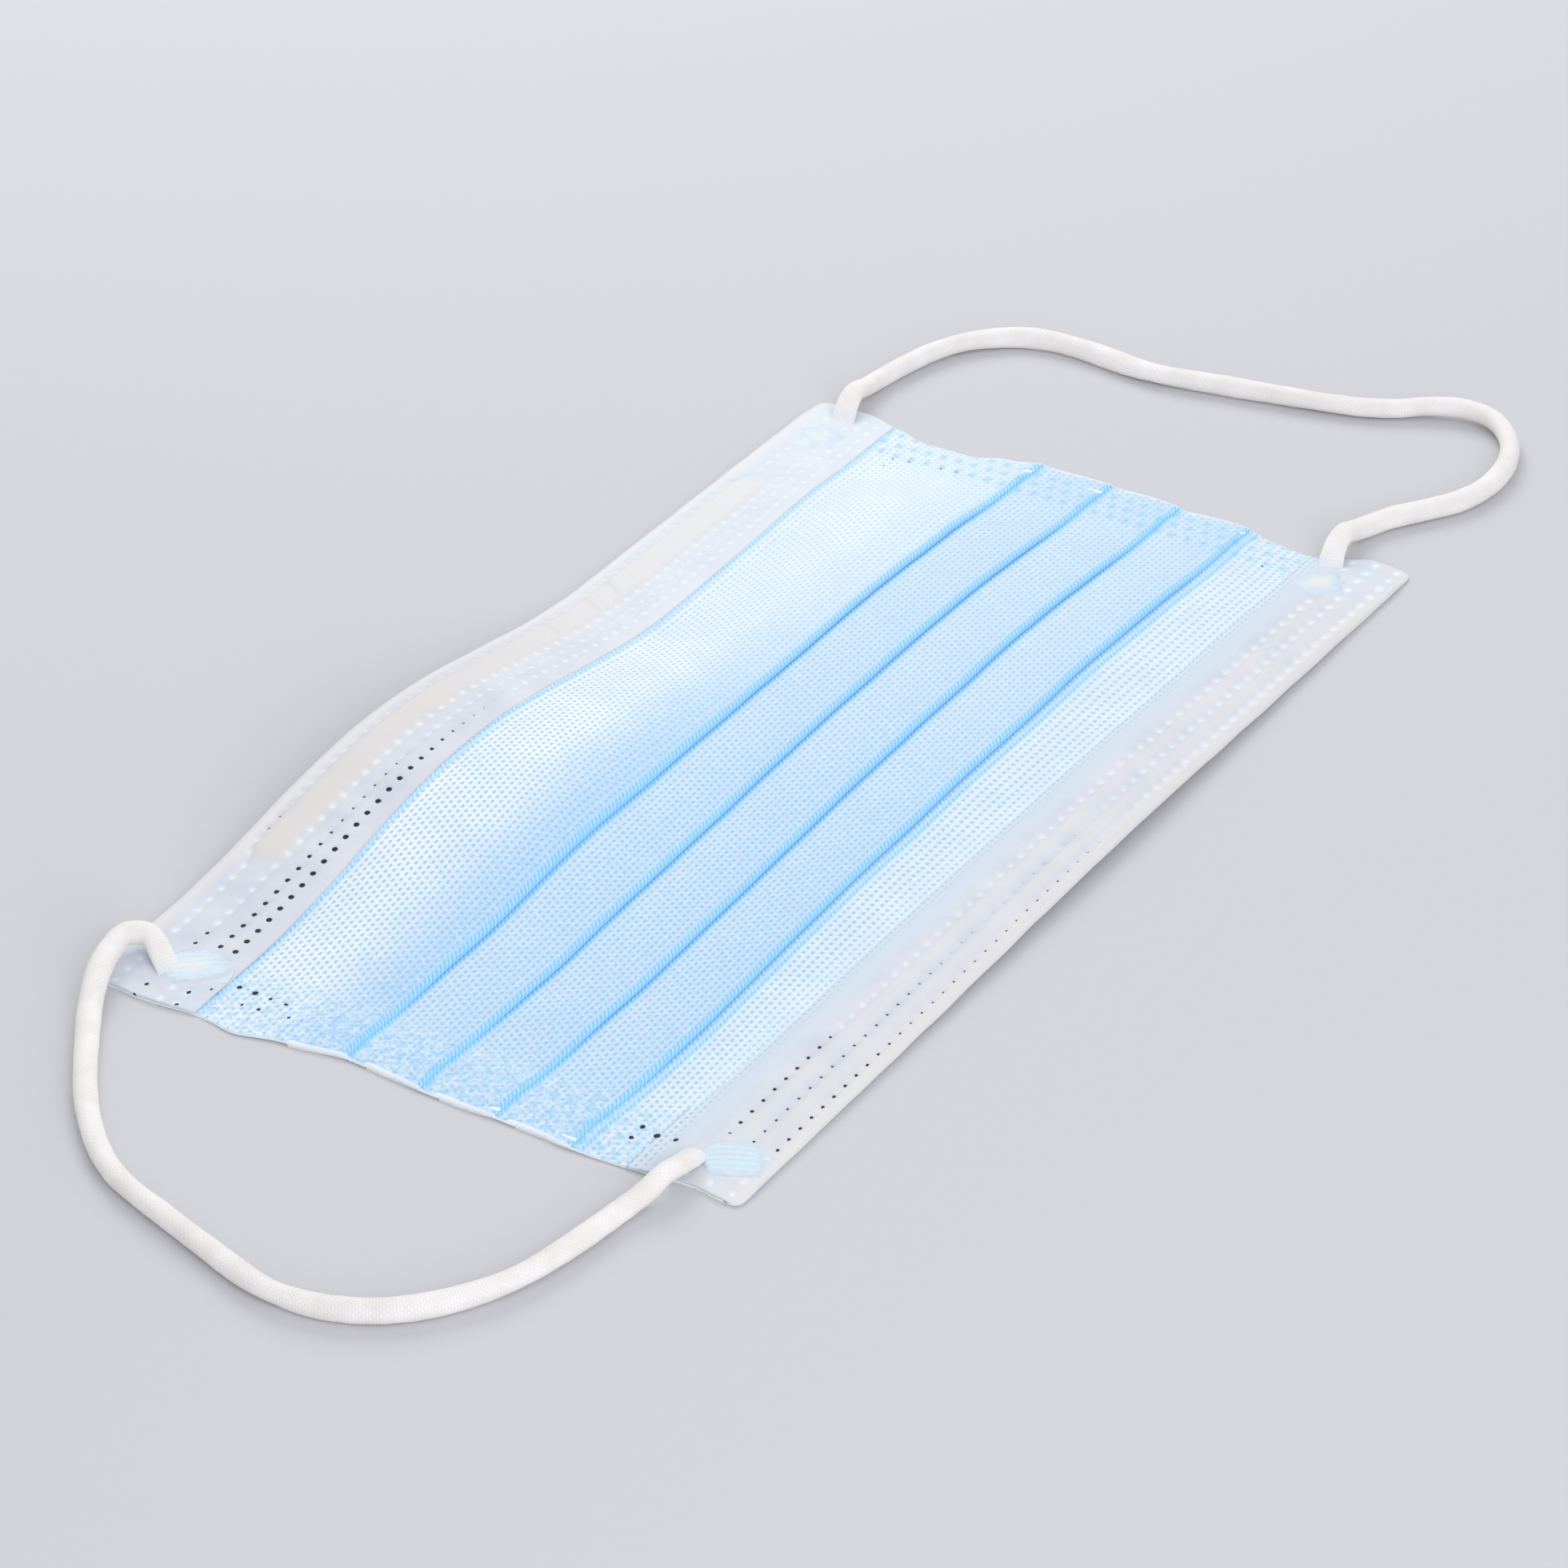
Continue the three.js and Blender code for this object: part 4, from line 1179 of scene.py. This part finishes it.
class MASK_OT_ear_loops(bpy.types.Operator):
    """Builds the two round elastic ear loops as tubes along their routes"""
    bl_idname = "mask.ear_loops"
    bl_label = "Ear loops"

    def execute(self, context):
        settings = context.scene.mask_loop
        material = knitted_elastic(settings)
        for loop in LOOPS:
            curve = loop_curve(loop["route"])
            piece = self.tube(loop, curve, settings.diameter)
            piece.data.materials.append(material)
            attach(piece, "root")
            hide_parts(loop["node"])
        return {"FINISHED"}

    def tube(self, loop, curve, diameter):
        """A closed tube along a curve, a little uneven, and pressed flat towards its ends."""
        walked = [0.0]
        for a, b in zip(curve, curve[1:]):
            walked.append(walked[-1] + (b - a).length)
        total = walked[-1]
        seed = loop["seed"]
        stations = []
        for k, point in enumerate(curve):
            ahead = (curve[min(k + 1, len(curve) - 1)] - curve[max(k - 1, 0)]).normalized()
            side = ahead.cross(Vector((0, 0, 1))).normalized()
            stations.append((point, side, side.cross(ahead), walked[k]))
        turns = [2 * math.pi * k / LOOP_SIDES for k in range(LOOP_SIDES + 1)]

        def place(turn, station):
            centre, side, up, along = station
            oval = 0.07 + 0.05 * ripple(along, 0.0, 0.017, seed)
            twist = 3.0 * ripple(along, 1.0, 0.030, seed + 5)
            size = 1 + 0.05 * ripple(along, 2.0, 0.006, seed + 9)
            size += 0.035 * ripple(along, math.cos(turn) * 0.002, 0.0016, seed)
            size *= 1 + oval * math.cos(2 * (turn - twist))
            end = min(along, total - along)
            size *= mix(0.75, 1.0, smooth(0.0, 0.0006, end))
            full, wider = loop["flat"][0 if along < total / 2 else 1]
            pressed = full * fade(0.0005, PRESSED_REACH, end)
            melt = full * fade(0.0006, MELTED_REACH, end)
            reach = diameter / 2 * size
            point = centre + side * (reach * math.cos(turn) * (1 + wider * pressed))
            point += up * (reach * math.sin(turn) * (1 - 0.74 * pressed))
            point.z -= SINK * pressed + MELTED_SINK * melt
            point.z = max(point.z, 0.00002 + 0.0001 * math.cos(turn) ** 2)
            return point, (diameter / 2 * turn, along), (melt,)

        piece = grid_piece(loop["name"], turns, stations, place, ("melt",))
        bm = bmesh.new()
        bm.from_mesh(piece.data)
        bmesh.ops.remove_doubles(bm, verts=bm.verts[:], dist=1e-7)
        rims = [e for e in bm.edges if e.is_boundary]
        bmesh.ops.holes_fill(bm, edges=rims, sides=0)
        bmesh.ops.recalc_face_normals(bm, faces=bm.faces[:])
        for face in bm.faces:
            face.smooth = len(face.verts) < 5
        bm.to_mesh(piece.data)
        bm.free()
        return piece


class MASK_OT_loop_ends(bpy.types.Operator):
    """Builds the four pressed patches where the ear loops are melted onto the corners"""
    bl_idname = "mask.loop_ends"
    bl_label = "Melted loop ends"

    def execute(self, context):
        settings = context.scene.mask_cloth
        material = melted_nylon(settings)
        for corner, patch in PATCHES.items():
            piece = self.patch(f"loop_end_{corner}", patch)
            piece.data.materials.append(material)
            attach(piece, "root")
            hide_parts(f"loop_weld_{corner}")
        return {"FINISHED"}

    def patch(self, name, patch):
        """A thin pad whose rim sinks into the hem; u runs along its lines and v across them."""
        angle = math.radians(patch["turn"])
        along = Vector((math.cos(angle), math.sin(angle)))
        across = Vector((-along.y, along.x))
        steps = 44
        places = [k / steps for k in range(steps + 1)]
        lines = patch["lines"]

        def place(a, b):
            u = 2 * a - 1
            v = 1 - 2 * b
            out = math.hypot(u, v)
            long = patch["long"] * u * math.sqrt(1 - PATCH_TAPER[0] * v * v)
            wide = patch["wide"] * v * math.sqrt(1 - PATCH_TAPER[1] * u * u)
            flat = along * long + across * (wide + PATCH_BOW * (1 - u * u))
            x = patch["x"] + flat.x
            y = patch["y"] + flat.y
            inside = 1 - mix(out, max(abs(u), abs(v)), lines) + 0.14 * ripple(x, y, 0.0012)
            body = smooth(0.02, mix(0.55, 0.30, lines), inside)
            turns = patch["wide"] * v / patch["line"]
            wave = math.cos(2 * math.pi * turns + 0.8 * ripple(x, y, 0.003))
            relief = patch["ridge"] * wave + 0.00006 * ripple(x, y, 0.0010)
            z = HEM_ENDS + mix(PATCH_LOW, PATCH_HIGH, body) + relief * body
            speck = smooth(0.05, 0.35, ripple(x, y, 0.0009, 12.0)) * smooth(0.1, 0.5, out)
            ring = (0.6 + ripple(x, y, 0.0011, 20.0)) * bell(out - 0.50, 0.26)
            trough = smooth(0.1, 0.8, 0.5 - 0.5 * wave)
            groove = mix(max(0.8 * speck, ring), trough, lines) * body
            cream = smooth(0.6, 0.15, out) * patch["cream"]
            # Painted light: the rims of the nose patches lighten towards the far end, as the nose
            # hem does.
            pale = 0.4 * smooth(-0.035, 0.050, x) if patch["y"] > 0 else 0.0
            edge_x = to_edge(x, y)
            point = Vector((edge_x, y, ground(x, y) + z * squash(edge_x)))
            return point, (x, y), (groove, cream, smooth(0.60, 1.0, body), pale)

        piece = grid_piece(name, places, places, place, ("groove", "cream", "glow", "pale"))
        thicken(piece, PATCH_THICKNESS)
        return piece


class MASK_OT_stage(bpy.types.Operator):
    """Sets the camera, the pale floor and the soft light"""
    bl_idname = "mask.stage"
    bl_label = "Stage"

    def execute(self, context):
        settings = context.scene.mask_stage
        self.camera(settings)
        self.floor(settings)
        self.lights(settings)
        return {"FINISHED"}

    def camera(self, settings):
        azimuth, elevation = math.radians(CAMERA_AZIMUTH), math.radians(CAMERA_ELEVATION)
        back = Vector((
            math.sin(azimuth) * math.cos(elevation),
            -math.cos(azimuth) * math.cos(elevation),
            math.sin(elevation),
        ))
        data = bpy.data.cameras.new("camera")
        data.lens = settings.lens
        data.sensor_width = SENSOR_WIDTH
        data.shift_x, data.shift_y = CAMERA_SHIFT
        data.clip_start = 0.01
        place = Vector(CAMERA_TARGET) + back * CAMERA_DISTANCE
        bpy.context.scene.camera = self.aimed("camera", data, place, back)

    def floor(self, settings):
        bm = bmesh.new()
        bmesh.ops.create_grid(bm, x_segments=2, y_segments=2, size=FLOOR_HALF)
        piece = finished("floor", bm)
        piece.data.materials.append(studio_paper(settings))

    def lights(self, settings):
        for name, place, size, power, tint in (
            ("key", KEY_PLACE, KEY_SIZE, settings.key_power, settings.key),
            ("fill", FILL_PLACE, FILL_SIZE, settings.fill_power, settings.fill),
        ):
            data = bpy.data.lights.new(name, "AREA")
            data.shape = "DISK"
            data.size = size
            data.energy = power
            data.color = tint
            self.aimed(name, data, place, Vector(place))
        world = bpy.data.worlds.new("studio")
        world.use_nodes = True
        shade = world.node_tree.nodes["Background"]
        shade.inputs["Color"].default_value = (*settings.sky_colour, 1)
        shade.inputs["Strength"].default_value = settings.sky
        bpy.context.scene.world = world
        bpy.context.scene.view_settings.view_transform = "Standard"

    def aimed(self, name, data, place, back):
        """Puts a camera or light at a place, facing away from back."""
        made = bpy.data.objects.new(name, data)
        bpy.context.scene.collection.objects.link(made)
        made.location = place
        made.rotation_mode = "QUATERNION"
        made.rotation_quaternion = (-back).to_track_quat("-Z", "Y")
        return made


class MASK_PT_panel(bpy.types.Panel):
    """Lists the mask's pieces"""
    bl_idname = "MASK_PT_panel"
    bl_label = "Surgical Face Mask"
    bl_space_type = "VIEW_3D"
    bl_region_type = "UI"
    bl_category = "Mask"

    def draw(self, context):
        scene = context.scene
        for settings in (scene.mask_cloth, scene.mask_loop, scene.mask_stage):
            for name in settings.__annotations__:
                self.layout.prop(settings, name)
        for operator in OPERATORS:
            self.layout.operator(operator.bl_idname)


OPERATORS = (
    MASK_OT_stage, MASK_OT_ear_loops, MASK_OT_plies, MASK_OT_hems, MASK_OT_nose_strip,
    MASK_OT_loop_ends,
)
CLASSES = (MaskClothSettings, MaskLoopSettings, MaskStageSettings, *OPERATORS, MASK_PT_panel)


def register():
    for item in CLASSES:
        bpy.utils.register_class(item)
    bpy.types.Scene.mask_cloth = PointerProperty(type=MaskClothSettings)
    bpy.types.Scene.mask_loop = PointerProperty(type=MaskLoopSettings)
    bpy.types.Scene.mask_stage = PointerProperty(type=MaskStageSettings)


def unregister():
    del bpy.types.Scene.mask_cloth
    del bpy.types.Scene.mask_loop
    del bpy.types.Scene.mask_stage
    for item in reversed(CLASSES):
        bpy.utils.unregister_class(item)


def main():
    """Builds the mask and its stage."""
    register()
    bpy.ops.mask.stage()
    bpy.ops.mask.ear_loops()
    bpy.ops.mask.plies()
    bpy.ops.mask.hems()
    bpy.ops.mask.nose_strip()
    bpy.ops.mask.loop_ends()


if __name__ == "__main__":
    main()
